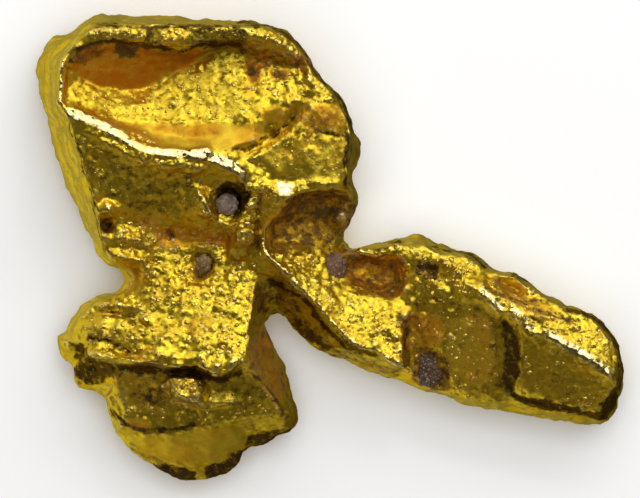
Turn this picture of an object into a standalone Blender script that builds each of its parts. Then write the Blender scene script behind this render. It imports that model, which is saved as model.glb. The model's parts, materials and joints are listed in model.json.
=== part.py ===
"""Gold crystal specimen: one piece of native gold, three intergrown crystals in a Y.

The head is a worn hopper crystal with a raised rim and a sharp crown ridge, the foot is a stepped
lump that leans on the head's neck, and the arm is a long crystal that ends in a ridged point.
The specimen lies on three worn flats, and +Z is up.

The form is surveyed like ground: an outline at the girdle, where the specimen is widest, and named
lines with heights over the top and the underside. Each side becomes a triangulated surface, the two
meet at the girdle, and Blender's remesh, smooth and decimate modifiers turn them into one solid.
"""

import math

import bmesh
import bpy
from mathutils import Matrix, Vector, geometry, noise

# Driving dimensions, in millimetres.
LENGTH = 18.0  # from the head's west side to the tip of the arm
GIRDLE_Z = 1.25  # height of the widest outline above the table
GIRDLE_WAVE = 0.3  # how far the girdle rises and falls
BELLY_Z = 0.5  # height where the wall turns under
BELLY_WAVE = 0.5  # how far that height rises and falls
RELIEF = 0.05  # height of the waterworn relief
GRAIN_CLEARANCE = 0.012  # between a grain and its socket

# Plan points are (east, south) in plan units, and the outline spans these ranges.
WEST, EAST = 36.0, 623.0
NORTH, SOUTH = 13.0, 481.0
UNIT = LENGTH / (EAST - WEST)  # millimetres to a plan unit

# How the solids are made.
FINE_CELL = 0.095  # cell of the remesh, in millimetres
SMOOTHING = {"factor": 0.5, "iterations": 3}
GOLD_TRIANGLES = 8600
SAME_POINT = 1e-4  # in millimetres
TABLE_THICKNESS = 4.0  # of the cutter that wears the flats, whose top is the plane z = 0
GIRDLE_WAVE_RATE = 0.02  # per plan unit
BELLY_INSET = 6.0  # from the girdle in to where the wall turns under, in plan units
BELLY_WAVE_RATE = 0.9  # per millimetre
RELIEF_RATE = 1.6  # per millimetre
RELIEF_OCTAVES = 3
GRAIN_LUMPS = 0.22  # share of a grain's size
GRAIN_LUMP_RATE = 1.7  # lumps over a grain
METRES = 0.001  # to a millimetre

# Finishes: linear colour, roughness, metallic.
GOLD = ((0.78, 0.5, 0.07), 0.32, 1.0)
MATRIX = ((0.2, 0.13, 0.1), 0.7, 0.0)

# Grains of matrix left in the gold's pits: plan point, height and half widths, in millimetres.
GRAINS = {
    "matrix_grain_centre": ((227.0, 205.0, 3.46), (0.43, 0.4, 0.28)),
    "matrix_grain_neck": ((205.0, 263.0, 2.72), (0.3, 0.38, 0.22)),
    "matrix_grain_east": ((333.0, 268.0, 2.2), (0.48, 0.56, 0.36)),
    "matrix_grain_arm": ((430.0, 368.0, 2.0), (0.52, 0.66, 0.3)),
}

# ---------------------------------------------------------------------------------------------
# The girdle outline, clockwise from the neck's west notch. Points are (east, south).
# ---------------------------------------------------------------------------------------------
HEAD_OUTLINE = [
    (126, 279), (120, 269), (108, 265), (100, 258), (95, 246), (82, 222), (68, 190), (57, 160),
    (48, 125), (40, 95), (36, 76), (37, 60), (44, 46), (54, 38), (66, 35), (78, 27),
    (92, 14.5), (101, 13), (140, 16), (180, 18), (220, 21), (250, 21), (272, 25), (290, 34),
    (303, 48), (311, 60), (313, 68), (326, 82), (340, 97), (349, 115), (354, 130), (360, 142),
    (361, 152), (357, 164), (353, 171), (354, 185), (358, 197), (357, 210), (351, 222), (344, 232),
    (343, 241),
]
ARM_OUTLINE = [
    (350, 248), (363, 247), (378, 243), (390, 240), (400, 239), (410, 235), (420, 235), (434, 243),
    (452, 248), (470, 252), (482, 259), (490, 267), (500, 271), (515, 272), (530, 283), (548, 294),
    (566, 305), (582, 309), (594, 314), (605, 325), (615, 338), (621, 353), (623, 370), (621, 390),
    (617, 408), (609, 421), (600, 426), (580, 425), (555, 421), (525, 416), (500, 411), (470, 406),
    (440, 396), (420, 389), (395, 380), (370, 372), (345, 361), (322, 353), (306, 341), (292, 329),
]
FOOT_OUTLINE = [
    (287, 319), (278, 314), (269, 316), (264, 324), (268, 333), (277, 349), (286, 367), (290, 390),
    (296, 405), (297, 420), (291, 432), (278, 438), (264, 446), (250, 447), (243, 455), (237, 466),
    (226, 475), (205, 480), (185, 481), (165, 474), (145, 462), (128, 447), (117, 430), (109, 412),
    (103, 397), (95, 391), (78, 388), (72, 380), (72, 364), (62, 357), (57, 345), (56, 335),
    (66, 330), (72, 318), (81, 306), (97, 296), (115, 291), (123, 286),
]

# ---------------------------------------------------------------------------------------------
# Lines over the top. Each point is (east, south, height in millimetres).
# ---------------------------------------------------------------------------------------------
HEAD_TOP = {
    "west_edge": [
        (64, 62, 4.45), (61, 83, 4.45), (60, 103, 4.5), (66, 112, 4.6), (71, 125, 4.58),
        (76, 140, 4.52), (84, 165, 4.38), (93, 195, 4.12), (98, 214, 3.96), (102, 235, 3.65),
        (107, 250, 3.42), (116, 261, 3.3), (130, 269, 3.06), (136, 279, 2.75),
    ],
    "corner_edge": [(64, 62, 4.45), (70, 52, 4.35), (82, 40, 4.4), (95, 29, 4.5)],
    "corner_chamfer": [
        (47, 72, 2.7), (50, 57, 3.0), (60, 47, 3.15), (74, 38, 3.2), (88, 25, 3.1),
    ],
    "north_shoulder": [
        (95, 29, 4.5), (115, 27, 4.6), (140, 27, 4.6), (165, 26, 4.6), (190, 27, 4.55),
        (215, 27, 4.5), (240, 28, 4.4), (262, 29, 4.22), (280, 35, 4.12), (294, 44, 3.98),
        (303, 54, 3.86), (309, 66, 3.82),
    ],
    "rim_beads": [(250, 36, 4.4), (262, 38, 4.33), (275, 43, 4.25), (287, 50, 4.12), (297, 58, 3.98)],
    "rim_cluster_foot": [(160, 31, 4.5), (172, 30, 4.5), (187, 31, 4.48)],
    "rim_cluster": [(161, 41, 4.6), (170, 43, 4.64), (179, 41, 4.64), (187, 39, 4.56)],
    "rim_lip": [
        (70, 64, 4.35), (80, 51, 4.4), (92, 45, 4.5), (110, 42, 4.6), (130, 41, 4.62),
        (142, 42, 4.55), (150, 46, 4.5), (165, 49, 4.5), (185, 48, 4.45), (200, 42, 4.4),
        (220, 41, 4.35), (245, 43, 4.25), (262, 47, 4.16), (277, 53, 4.06), (294, 62, 3.9),
    ],
    "hopper_valley": [
        (70, 72, 4.0), (84, 79, 3.76), (100, 87, 3.62), (120, 91, 3.42), (140, 89, 3.28),
        (150, 84, 3.24), (166, 77, 3.24), (185, 66, 3.25), (203, 57, 3.28), (217, 51, 3.34),
        (235, 50, 3.4), (252, 58, 3.45), (266, 63, 3.5), (282, 67, 3.56), (300, 68, 3.62),
    ],
    "hopper_wall": [
        (84, 58, 4.1), (100, 55, 3.98), (120, 53, 3.9), (145, 56, 3.85), (170, 58, 3.82),
        (190, 55, 3.9), (205, 50, 3.95),
    ],
    "west_rim_foot": [(70, 72, 4.0), (71, 86, 4.02), (72, 100, 4.2)],
    "bright_face": [
        (95, 102, 3.95), (120, 108, 3.76), (150, 105, 3.58), (180, 100, 3.59), (210, 94, 3.66),
        (240, 88, 3.74),
    ],
    "boat_start": [
        (88, 109, 4.15), (112, 116, 3.98), (140, 122, 3.86), (170, 125, 3.88), (200, 126, 3.96),
        (230, 126, 4.05), (252, 122, 4.05),
    ],
    "boat_middle": [
        (113, 120.5, 4.07), (128, 126, 4.02), (143, 131, 3.99), (156, 135, 3.99), (170, 137, 4.0),
        (185, 139, 4.02), (200, 138.5, 4.06), (218, 138, 4.11), (235, 137, 4.13), (252, 132, 4.08),
    ],
    "boat_end": [
        (80, 110, 4.38), (97, 117, 4.3), (114, 124, 4.22), (132, 132, 4.2), (150, 140, 4.24),
        (170, 146, 4.28), (190, 149, 4.3), (210, 146, 4.28), (235, 147, 4.3), (256, 141, 4.16),
    ],
    "crown_north_edge": [
        (68, 108, 4.58), (78, 110.5, 4.52), (88, 115, 4.5), (98, 120, 4.49), (110, 125, 4.48),
        (122, 131.5, 4.48), (134, 141, 4.48), (146, 147, 4.48), (160, 149, 4.48),
        (180, 150, 4.48), (199, 150, 4.48), (208, 148, 4.5), (216, 155, 4.47),
        (226, 157, 4.42), (237, 163, 4.37), (246, 171, 4.27),
    ],
    "crown_ridge": [
        (70, 119, 4.63), (82, 121, 4.61), (92, 125, 4.6), (104, 131, 4.59), (117, 138, 4.59),
        (130, 145.5, 4.59), (142, 151, 4.59), (155, 155, 4.58), (170, 157, 4.58),
        (188, 158.5, 4.59), (203, 161, 4.6), (212, 162, 4.58), (220, 165.5, 4.53),
        (231, 171, 4.47), (240, 177, 4.38), (247, 184, 4.2),
    ],
    "south_of_ridge": [
        (78, 131, 4.53), (95, 143, 4.4), (116, 156, 4.34), (139, 167, 4.3), (165, 173, 4.26),
        (185, 175, 4.22), (205, 176, 4.18), (222, 178, 4.12), (234, 186, 3.98),
    ],
    "skirt_foot": [
        (97, 130.5, 4.55), (109, 136.5, 4.55), (121, 143, 4.55), (133, 149.5, 4.55), (145, 154.5, 4.55),
        (160, 158, 4.53), (176, 160, 4.53), (192, 161.5, 4.53), (206, 164, 4.5),
    ],
    "skirt_lumps": [
        (94, 136, 4.61), (102, 139, 4.56), (110, 144, 4.62), (118, 148, 4.56), (126, 154, 4.62),
        (135, 157, 4.55), (144, 161, 4.61), (154, 163, 4.54), (164, 166, 4.6), (178, 168, 4.6),
        (190, 168, 4.53), (200, 171, 4.57),
    ],
    "dark_face": [
        (92, 165, 4.25), (112, 175, 4.08), (135, 182, 3.98), (160, 186, 3.92), (180, 186, 3.96),
    ],
    "dark_face_low": [(128, 208, 3.66), (150, 212, 3.5), (180, 214, 3.55)],
    "west_knob_foot": [(97, 199, 3.93), (107, 198, 3.86), (118, 200, 3.8)],
    "west_knob": [(100, 212, 4.0), (108, 211, 4.02), (117, 208, 3.94)],
    "west_pit": [(105, 219, 3.48), (110, 228, 3.38)],
    "arc_ridge": [
        (190, 183, 4.12), (198, 192, 4.14), (205, 203, 4.17), (210, 213, 4.17), (216, 221, 3.8),
    ],
    "arc_foot": [(197, 178, 4.1), (206, 186, 4.02), (212, 193, 3.98)],
    "neck_valley": [
        (140, 226, 3.25), (165, 236, 2.92), (190, 241, 2.8), (212, 243, 2.8), (226, 240, 2.86),
    ],
    "neck_pit_floor": [(200, 258, 2.62), (206, 268, 2.6)],
    "neck_bump_foot": [(120, 224, 3.38), (130, 223, 3.34), (138, 227, 3.26), (150, 231, 3.14)],
    "neck_bumps": [
        (113, 239, 3.5), (126, 237, 3.52), (138, 240, 3.44), (150, 246, 3.28),
    ],
    "neck_bumps_low_foot": [(112, 247, 3.34), (124, 246, 3.32), (138, 249, 3.22), (152, 254, 3.06)],
    "neck_bumps_low": [(115, 256, 3.46), (128, 258, 3.46), (143, 262, 3.32), (157, 266, 3.06)],
    "tongue_north": [(246, 160, 4.17), (256, 164, 4.15), (266, 172, 4.13), (276, 181, 4.1)],
    "blob_north": [(276, 181, 4.1), (285, 182, 4.07), (294, 184, 4.04), (304, 186, 4.0)],
    "tongue_south": [
        (247, 184, 4.2), (256, 182, 4.24), (264, 186, 4.24), (271, 192, 4.24), (279, 197, 4.24),
        (291, 199, 4.2),
    ],
    "cavern_rim": [
        (291, 199, 4.2), (284, 205, 4.0), (277, 213, 3.85), (271, 220, 3.68), (265, 229, 3.46),
        (264, 238, 3.42), (264, 247, 3.48), (268, 256, 3.54), (277, 264, 3.54), (286, 272, 3.5),
        (290, 280, 3.42),
    ],
    "grain_pit_rim": [
        (211, 195, 3.97), (221, 184, 4.02), (238, 185, 3.98), (246, 195, 3.7), (244, 208, 3.6),
        (238, 218, 3.6), (227, 224, 3.55), (214, 218, 3.76), (211, 206, 3.9),
    ],
    "grain_pit_floor": [
        (217, 199, 3.4), (230, 189, 3.34), (241, 199, 3.3), (238, 212, 3.32), (219, 214, 3.38),
    ],
    "column": [
        (253, 190, 4.14), (253, 196, 3.98), (252, 207, 4.08), (250, 213, 3.88), (249, 226, 4.04),
        (248, 241, 4.14), (248, 247, 3.6), (249, 252, 3.22),
    ],
    "column_west": [(242, 216, 3.7), (239, 228, 3.92), (238, 240, 4.04)],
    "column_groove": [(261, 197, 4.0), (258, 211, 3.76), (257, 227, 3.5), (257, 243, 3.3)],
    "groove": [
        (246, 153, 4.05), (262, 146, 3.88), (272, 138, 3.8), (285, 126, 3.8), (298, 112, 3.86),
        (305, 104, 3.92),
    ],
    "east_block_edge": [
        (253, 159, 4.26), (267, 152, 4.18), (278, 144, 4.16), (292, 131, 4.15), (303, 118, 4.1),
        (311, 109, 4.07),
    ],
    "east_block_mid": [(275, 170, 4.19), (305, 155, 4.12), (328, 148, 4.0)],
    "east_shoulder": [
        (309, 66, 3.82), (318, 79, 3.82), (330, 91, 3.8), (341, 106, 3.78), (348, 121, 3.78),
        (350, 133, 3.82), (348, 150, 3.88), (347, 170, 3.86), (347, 184, 3.78), (350, 193, 3.55),
    ],
    "east_streaks": [(307, 81, 3.92), (317, 94, 3.98), (328, 106, 4.0), (337, 119, 3.96)],
    "bright_face_east": [
        (262, 84, 3.72), (285, 84, 3.78), (300, 92, 3.88),
    ],
    "bright_face_end": [
        (264, 114, 4.02), (280, 108, 4.01), (296, 98, 4.0),
    ],
    "cliff_top": [
        (291, 199, 4.2), (298, 193, 4.16), (306, 190, 4.12), (320, 190, 4.04), (334, 188, 3.96),
        (350, 193, 3.55),
    ],
    "cliff_foot": [
        (291, 209, 3.0), (303, 201, 2.74), (320, 199, 2.5), (338, 198, 2.35), (351, 204, 2.1),
    ],
    "cavern_floor": [
        (281, 222, 2.62), (300, 222, 2.46), (318, 222, 2.3),
    ],
    "cavern_bulge": [(327, 212, 2.36), (334, 213, 2.56), (342, 216, 2.58), (350, 216, 2.34)],
    "cavern_bulge_foot": [(324, 228, 2.26), (335, 230, 2.2), (345, 228, 2.04)],
    "cavern_mouth": [
        (274, 242, 2.7), (296, 242, 2.54), (318, 242, 2.38), (334, 238, 2.14),
    ],
}
ARM_TOP = {
    "arm_root": [(268, 250, 3.15), (286, 252, 2.95), (305, 253, 2.8), (318, 255, 2.6)],
    "recess_rim": [
        (318, 255, 2.6), (320, 270, 2.62), (331, 285, 2.68), (358, 295, 2.68), (378, 300, 2.7),
        (396, 300, 2.76), (411, 305, 2.78),
    ],
    "recess_floor": [
        (334, 259, 2.1), (347, 268, 2.0), (362, 280, 1.95), (382, 285, 1.95), (396, 280, 2.0),
        (388, 268, 1.95), (366, 262, 1.9),
    ],
    "recess_north": [
        (347, 252, 2.25), (360, 252, 2.42), (374, 254, 2.55), (390, 253, 2.7), (402, 257, 2.78),
        (409, 268, 2.76), (411, 285, 2.78), (411, 305, 2.78),
    ],
    "arm_crest": [
        (290, 280, 3.35), (305, 292, 3.3), (319, 305, 3.3), (331, 321, 3.3), (345, 336, 3.3),
        (360, 347, 3.34), (378, 352, 3.37), (391, 360, 3.37), (402, 365, 3.3),
    ],
    "bright_slope": [
        (300, 268, 3.05), (318, 285, 3.0), (345, 310, 2.98), (372, 316, 2.92), (395, 314, 2.92),
    ],
    "bright_lump": [(365, 334, 3.15), (382, 331, 3.11), (395, 337, 3.13), (392, 349, 3.22)],
    "drop_top": [(408, 310, 2.85), (403, 322, 3.0), (402, 340, 3.16), (402, 354, 3.25), (402, 365, 3.3)],
    "drop_foot": [(416, 312, 2.6), (411, 325, 2.42), (409, 342, 2.36), (409, 356, 2.3), (409, 368, 2.24)],
    "north_shoulder": [
        (352, 251, 2.2), (366, 249.5, 2.4), (382, 247, 2.55), (398, 245, 2.68), (412, 247, 2.78),
        (428, 250, 2.84), (446, 254, 2.88), (462, 258, 2.86), (474, 263, 2.8), (485, 272, 2.72),
        (498, 276, 2.72), (513, 277, 2.76), (527, 288, 2.84), (545, 299, 2.9), (563, 309, 2.94),
        (580, 314, 2.96), (592, 319, 2.96), (602, 330, 2.96), (611, 343, 2.94), (616, 358, 2.93),
        (618, 372, 2.95), (616, 385, 2.92), (606, 394, 2.8), (604, 407, 2.5), (600, 417, 2.32),
    ],
    "clump_top": [(420, 262, 2.86), (440, 260, 3.0), (458, 264, 3.06), (462, 276, 3.22), (466, 285, 3.35)],
    "clump_low": [(418, 296, 2.84), (432, 285, 2.94), (450, 290, 3.04), (455, 300, 3.02)],
    "arm_ridge": [
        (466, 285, 3.35), (478, 291, 3.5), (490, 302, 3.55), (499, 313, 3.48), (509, 311, 3.54),
        (521, 321, 3.58), (531, 334, 3.54), (541, 333, 3.56), (560, 344, 3.52), (580, 355, 3.46),
        (600, 368, 3.38), (609, 375, 3.3), (616, 385, 2.92),
    ],
    "arm_ridge_north": [
        (482, 285, 3.42), (494, 296, 3.465), (504, 305, 3.39), (513, 305, 3.46), (525, 315, 3.5),
        (535, 327, 3.45), (546, 327, 3.47), (564, 338, 3.43), (584, 349, 3.37), (603, 362, 3.29),
        (613, 371, 3.2),
    ],
    "ridge_north_foot": [
        (492, 283, 3.22), (509, 297, 3.32), (526, 306, 3.31), (549, 318, 3.3), (569, 327, 3.25),
        (589, 336, 3.16), (607, 350, 3.08),
    ],
    "pocket_rim": [
        (487, 279, 2.84), (500, 290, 2.94), (514, 297, 2.94), (526, 297, 2.92), (525, 288, 2.83),
    ],
    "pocket_floor": [(497, 281, 2.5), (508, 286, 2.46), (518, 290, 2.5)],
    "tip_face_top": [
        (523, 344, 3.32), (545, 345, 3.36), (570, 360, 3.3), (596, 376, 3.16), (606, 384, 3.02),
    ],
    "tip_face_low": [
        (519, 372, 2.96), (528, 390, 2.84), (552, 400, 2.76), (580, 408, 2.66),
        (597, 410, 2.56),
    ],
    "south_groove": [
        (498, 386, 2.42), (510, 397, 2.42), (530, 405, 2.42), (555, 410, 2.4), (582, 415, 2.34),
        (600, 417, 2.32),
    ],
    "arm_valley": [(503, 322, 3.1), (506, 340, 2.86), (506, 360, 2.62), (502, 376, 2.46)],
    "brown_face_top": [(440, 308, 2.86), (462, 306, 3.06), (482, 308, 3.24), (494, 320, 3.2)],
    "brown_face": [
        (436, 340, 2.66), (462, 336, 2.86), (486, 334, 3.02), (493, 352, 2.84), (490, 374, 2.58),
    ],
    "brown_face_low": [(446, 366, 2.5), (455, 386, 2.36), (475, 393, 2.34), (490, 386, 2.44)],
    "dark_shelf": [(420, 318, 2.66), (432, 326, 2.62), (422, 338, 2.44)],
    "matrix_hollow": [(418, 352, 2.12), (430, 362, 2.02), (440, 378, 1.98), (424, 380, 1.96)],
    "south_shoulder": [
        (409, 368, 2.24), (420, 381, 2.0), (444, 391, 2.04), (470, 399, 2.12),
        (498, 404, 2.16),
    ],
    "south_wall_edge": [
        (276, 290, 2.55), (296, 303, 2.5), (314, 318, 2.45), (330, 334, 2.4), (346, 348, 2.36),
        (364, 358, 2.3), (388, 367, 2.24), (409, 368, 2.24),
    ],
    "crotch_wall": [(268, 282, 2.85), (262, 296, 2.6), (264, 310, 2.0)],
}
FOOT_TOP = {
    "north_edge": [
        (136, 279, 2.75), (131, 288, 2.68), (118, 295, 2.68), (104, 301, 2.68), (90, 309, 2.56),
        (80, 318, 2.44), (74, 328, 2.3),
    ],
    "east_edge": [
        (258, 272, 3.12), (256, 286, 3.18), (254, 300, 3.3), (252, 315, 3.44), (249, 330, 3.6),
        (247, 346, 3.8), (244, 360, 3.98),
    ],
    "neck": [
        (150, 262, 2.9), (172, 262, 2.94),
    ],
    "neck_pit_rim": [
        (190, 258, 2.92), (197, 250, 2.9), (207, 249, 2.95), (217, 256, 3.02), (217, 270, 3.0),
        (208, 279, 2.98), (196, 276, 2.94), (190, 267, 2.92), (190, 258, 2.92),
    ],
    "neck_east": [(228, 262, 3.04), (242, 262, 3.08)],
    "neck_south": [
        (150, 285, 3.06), (180, 288, 3.24), (210, 292, 3.34), (236, 294, 3.38),
    ],
    "foot_face": [
        (120, 305, 2.97), (150, 312, 3.3), (185, 315, 3.5), (222, 318, 3.62),
    ],
    "foot_face_south": [
        (140, 334, 3.5), (165, 338, 3.7), (195, 338, 3.8), (225, 340, 3.86),
    ],
    "ledge_1_top": [(86, 336, 3.0), (100, 337, 3.18), (114, 339, 3.3), (127, 345, 3.42), (140, 349, 3.54)],
    "ledge_1_foot": [(84, 343, 2.84), (99, 343, 3.04), (113, 347, 3.16), (125, 352, 3.3), (138, 355, 3.5)],
    "ledge_0_top": [(103, 305, 2.86), (114, 310, 2.96), (128, 309, 3.02)],
    "ledge_0_foot": [(104, 311, 2.76), (116, 316, 2.86), (130, 315, 2.94)],
    "west_lobe": [(82, 326, 2.74), (98, 322, 2.98), (114, 324, 3.14)],
    "south_crest": [
        (244, 360, 3.98), (235, 366, 4.0), (222, 373, 3.96), (212, 371, 4.0), (200, 363, 4.0),
        (183, 364, 3.95), (165, 366, 3.95), (150, 361, 3.92), (138, 362, 3.86), (127, 359, 3.76),
        (112, 358, 3.54), (98, 356, 3.36), (88, 353, 3.12),
    ],
    "crest_clump_foot": [(196, 351, 3.85), (212, 349, 3.88), (228, 349, 3.9), (238, 349, 3.9)],
    "crest_clumps": [
        (238, 359, 4.03), (232, 361, 4.06), (224, 365, 4.0), (217, 363, 4.06), (210, 365, 4.01),
        (203, 359, 4.02),
    ],
    "scarp_foot": [
        (88, 361, 2.5), (110, 365, 2.84), (130, 371, 2.98), (150, 371, 3.04), (170, 374, 3.08),
        (190, 374, 3.1), (210, 381, 3.1), (225, 382, 3.1), (240, 375, 3.16), (252, 373, 3.3),
    ],
    "south_ledge": [(118, 380, 2.84), (135, 388, 2.7), (158, 389, 2.76), (170, 392, 2.84)],
    "south_ledge_east": [(212, 391, 2.96), (226, 392, 2.98), (240, 392, 3.0)],
    "south_knob_north": [(171, 377, 3.5), (182, 376, 3.58), (195, 378, 3.58), (207, 386, 3.34)],
    "south_knob": [(176, 392, 3.68), (187, 397, 3.8), (198, 400, 3.72), (205, 402, 3.4)],
    "south_knob_foot": [(174, 399, 2.76), (186, 404, 2.78), (198, 408, 2.8)],
    "south_clumps": [(208, 401, 3.06), (220, 403, 3.09), (233, 402, 3.08)],
    "south_ledge_low": [
        (124, 405, 2.6), (150, 402, 2.54), (178, 410, 2.7), (210, 410, 2.83),
        (245, 406, 2.86),
    ],
    "south_lip": [
        (108, 398, 2.2), (114, 412, 2.3), (121, 424, 2.36), (145, 432, 2.4), (170, 431, 2.5),
        (190, 428, 2.64), (210, 425, 2.76), (228, 419, 2.8), (250, 415, 2.78), (272, 412, 2.7),
    ],
    "base_facet_low": [
        (129, 440, 1.62), (148, 453, 1.52), (168, 463, 1.48), (190, 468, 1.46), (212, 465, 1.48),
        (228, 457, 1.52), (240, 446, 1.6),
    ],
    "east_corner_edge": [
        (244, 360, 3.98), (254, 372, 3.5), (265, 385, 3.14), (275, 399, 2.86),
        (284, 413, 2.6),
    ],
    "heel_knob": [(256, 424, 2.1), (268, 420, 2.42), (284, 420, 2.42), (291, 416, 2.2)],
    "heel_knob_low": [(252, 437, 1.6), (266, 435, 1.72), (282, 429, 1.8)],
    "toe_1": [(62, 341, 1.85), (73, 341, 2.3), (84, 345, 2.66)],
    "toe_1_low": [(66, 352, 1.75), (78, 355, 1.95)],
    "toe_2": [(77, 366, 1.7), (90, 368, 1.95), (104, 374, 2.25)],
    "toe_2_low": [(79, 381, 1.5), (96, 384, 1.7)],
}

# ---------------------------------------------------------------------------------------------
# Lines over the underside. The worn flats dip below the table and are cut there.
# ---------------------------------------------------------------------------------------------
UNDERSIDE = {
    "head_flat": [
        (84, 92, -0.1), (112, 50, -0.1), (170, 44, -0.12), (240, 52, -0.1), (296, 92, -0.08),
        (322, 140, -0.1), (318, 178, -0.08), (262, 196, -0.1), (190, 204, -0.12), (128, 208, -0.1),
        (100, 160, -0.12), (84, 92, -0.1),
    ],
    "head_hollow": [(128, 96, 0.34), (170, 78, 0.42), (222, 96, 0.46), (206, 140, 0.4), (150, 150, 0.36)],
    "head_step": [(262, 100, 0.12), (286, 136, 0.18), (262, 168, 0.12)],
    "neck_under": [(150, 250, 0.42), (190, 262, 0.5), (236, 262, 0.5), (280, 250, 0.46), (318, 228, 0.4)],
    "foot_flat": [
        (122, 340, -0.08), (170, 318, -0.1), (226, 330, -0.1), (256, 372, -0.08), (258, 414, -0.08),
        (214, 444, -0.1), (164, 440, -0.1), (130, 400, -0.08), (122, 340, -0.08),
    ],
    "foot_hollow": [(170, 362, 0.22), (204, 372, 0.3), (198, 404, 0.26)],
    "arm_under": [(306, 292, 0.5), (340, 312, 0.44), (376, 326, 0.34)],
    "arm_flat": [
        (424, 286, -0.06), (468, 290, -0.1), (526, 320, -0.1), (580, 352, -0.08), (592, 388, -0.06),
        (540, 388, -0.1), (478, 376, -0.1), (424, 350, -0.06), (424, 286, -0.06),
    ],
    "arm_hollow": [(470, 322, 0.26), (510, 346, 0.32), (540, 362, 0.24)],
    "toes_under": [(84, 352, 0.7), (92, 372, 0.6)],
}


def in_millimetres(point):
    """A plan point with a height, moved to millimetres about the specimen's middle."""
    east, south, up = point
    return ((east - (WEST + EAST) / 2) * UNIT, ((NORTH + SOUTH) / 2 - south) * UNIT, up)


def outline_ring():
    """The girdle, anticlockwise seen from above, rising and falling a little."""
    ring = []
    for east, south in reversed(HEAD_OUTLINE + ARM_OUTLINE + FOOT_OUTLINE):
        wave = noise.noise(Vector((east, south, 0)) * GIRDLE_WAVE_RATE)
        ring.append(in_millimetres((east, south, GIRDLE_Z + GIRDLE_WAVE * wave)))
    return ring


def is_inside(x, y, ring):
    inside = False
    for (ax, ay, _), (bx, by, _) in zip(ring, ring[1:] + ring[:1]):
        if (ay > y) != (by > y) and x < ax + (y - ay) * (bx - ax) / (by - ay):
            inside = not inside
    return inside


def height_on_lines(spot, points, edges):
    """The height where two lines cross, taken from the line that runs nearest to the spot."""
    best = (math.inf, GIRDLE_Z)
    for a, b in edges:
        start = Vector(points[a][:2])
        along = Vector(points[b][:2]) - start
        share = min(1.0, max(0.0, (spot - start).dot(along) / along.length_squared))
        distance = (start + along * share - spot).length
        best = min(best, (distance, points[a][2] * (1 - share) + points[b][2] * share))
    return best[1]


def sheet(ring, lines):
    """One side of the specimen: a triangulated surface that keeps every line as a chain of edges."""
    points = []
    edges = []
    numbers = {}
    for line in [ring + ring[:1], *lines]:
        before = None
        for point in line:
            here = numbers.setdefault(point[:2], len(points))
            if here == len(points):
                points.append(point)
            if before is not None and before != here:
                edges.append((before, here))
            before = here
    plan, _, triangles, origins, *_ = geometry.delaunay_2d_cdt(
        [Vector(point[:2]) for point in points], edges, [], 0, SAME_POINT
    )
    corners = []
    for spot, origin in zip(plan, origins):
        up = points[origin[0]][2] if origin else height_on_lines(spot, points, edges)
        corners.append((spot.x, spot.y, up))
    kept = []
    for triangle in triangles:
        x, y, _ = (sum(corners[i][k] for i in triangle) / 3 for k in range(3))
        if is_inside(x, y, ring):
            kept.append(list(triangle))
    return corners, kept


def belly_ring(ring):
    """Where the wall turns under: the girdle drawn in and down, unevenly, and closed."""
    drawn = []
    for before, (x, y, _), after in zip(ring[-1:] + ring[:-1], ring, ring[1:] + ring[:1]):
        along = Vector(after[:2]) - Vector(before[:2])
        inward = Vector((-along.y, along.x)).normalized() * (BELLY_INSET * UNIT)
        wave = noise.noise(Vector((x, y, BELLY_Z)) * BELLY_WAVE_RATE)
        drawn.append((x + inward.x, y + inward.y, BELLY_Z + BELLY_WAVE * wave))
    return drawn + drawn[:1]


def surveyed_solid(name):
    """The two sides of the specimen, joined at the girdle."""
    ring = outline_ring()
    work = bmesh.new()
    upper_lines = [*HEAD_TOP.values(), *ARM_TOP.values(), *FOOT_TOP.values()]
    for side, lines in (("upper", upper_lines), ("under", list(UNDERSIDE.values()))):
        lines = [[in_millimetres(point) for point in line] for line in lines]
        if side == "under":
            lines.append(belly_ring(ring))
        corners, triangles = sheet(ring, lines)
        made = [work.verts.new(corner) for corner in corners]
        for triangle in triangles:
            order = triangle if side == "upper" else triangle[::-1]
            work.faces.new([made[i] for i in order])
    bmesh.ops.remove_doubles(work, verts=work.verts[:], dist=SAME_POINT)
    mesh = bpy.data.meshes.new(name)
    work.to_mesh(mesh)
    work.free()
    body = bpy.data.objects.new(name, mesh)
    bpy.context.scene.collection.objects.link(body)
    return body


def apply_modifier(body, kind, **settings):
    """Adds one modifier, and keeps what it makes as the mesh."""
    modifier = body.modifiers.new(kind.title(), kind)
    for setting, value in settings.items():
        setattr(modifier, setting, value)
    graph = bpy.context.evaluated_depsgraph_get()
    made = bpy.data.meshes.new_from_object(body.evaluated_get(graph))
    body.modifiers.clear()
    spent = body.data
    body.data = made
    bpy.data.meshes.remove(spent)


def triangle_count(body):
    body.data.calc_loop_triangles()
    return len(body.data.loop_triangles)


def roughen(body):
    """Waterworn relief: broad undulations and small lumps, along the surface normals."""
    places = [(point.co.copy(), point.normal.copy()) for point in body.data.vertices]
    for point, (place, normal) in zip(body.data.vertices, places):
        rise = noise.fractal(place * RELIEF_RATE, 1.0, 2.0, RELIEF_OCTAVES)
        point.co = place + normal * (RELIEF * rise)


def subtract(body, cutter):
    cutter.hide_render = True
    cutter.display_type = "WIRE"
    apply_modifier(body, "BOOLEAN", operation="DIFFERENCE", solver="EXACT", object=cutter)
    bpy.data.objects.remove(cutter, do_unlink=True)


def cut_flats(body):
    """Wears away what dips below the table, which leaves the flats that the specimen lies on."""
    bpy.ops.mesh.primitive_cube_add(size=1, location=(0, 0, -TABLE_THICKNESS / 2))
    table = bpy.context.object
    table.name = "table_cutter"
    table.scale = (2 * LENGTH, 2 * LENGTH, TABLE_THICKNESS)
    subtract(body, table)


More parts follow.
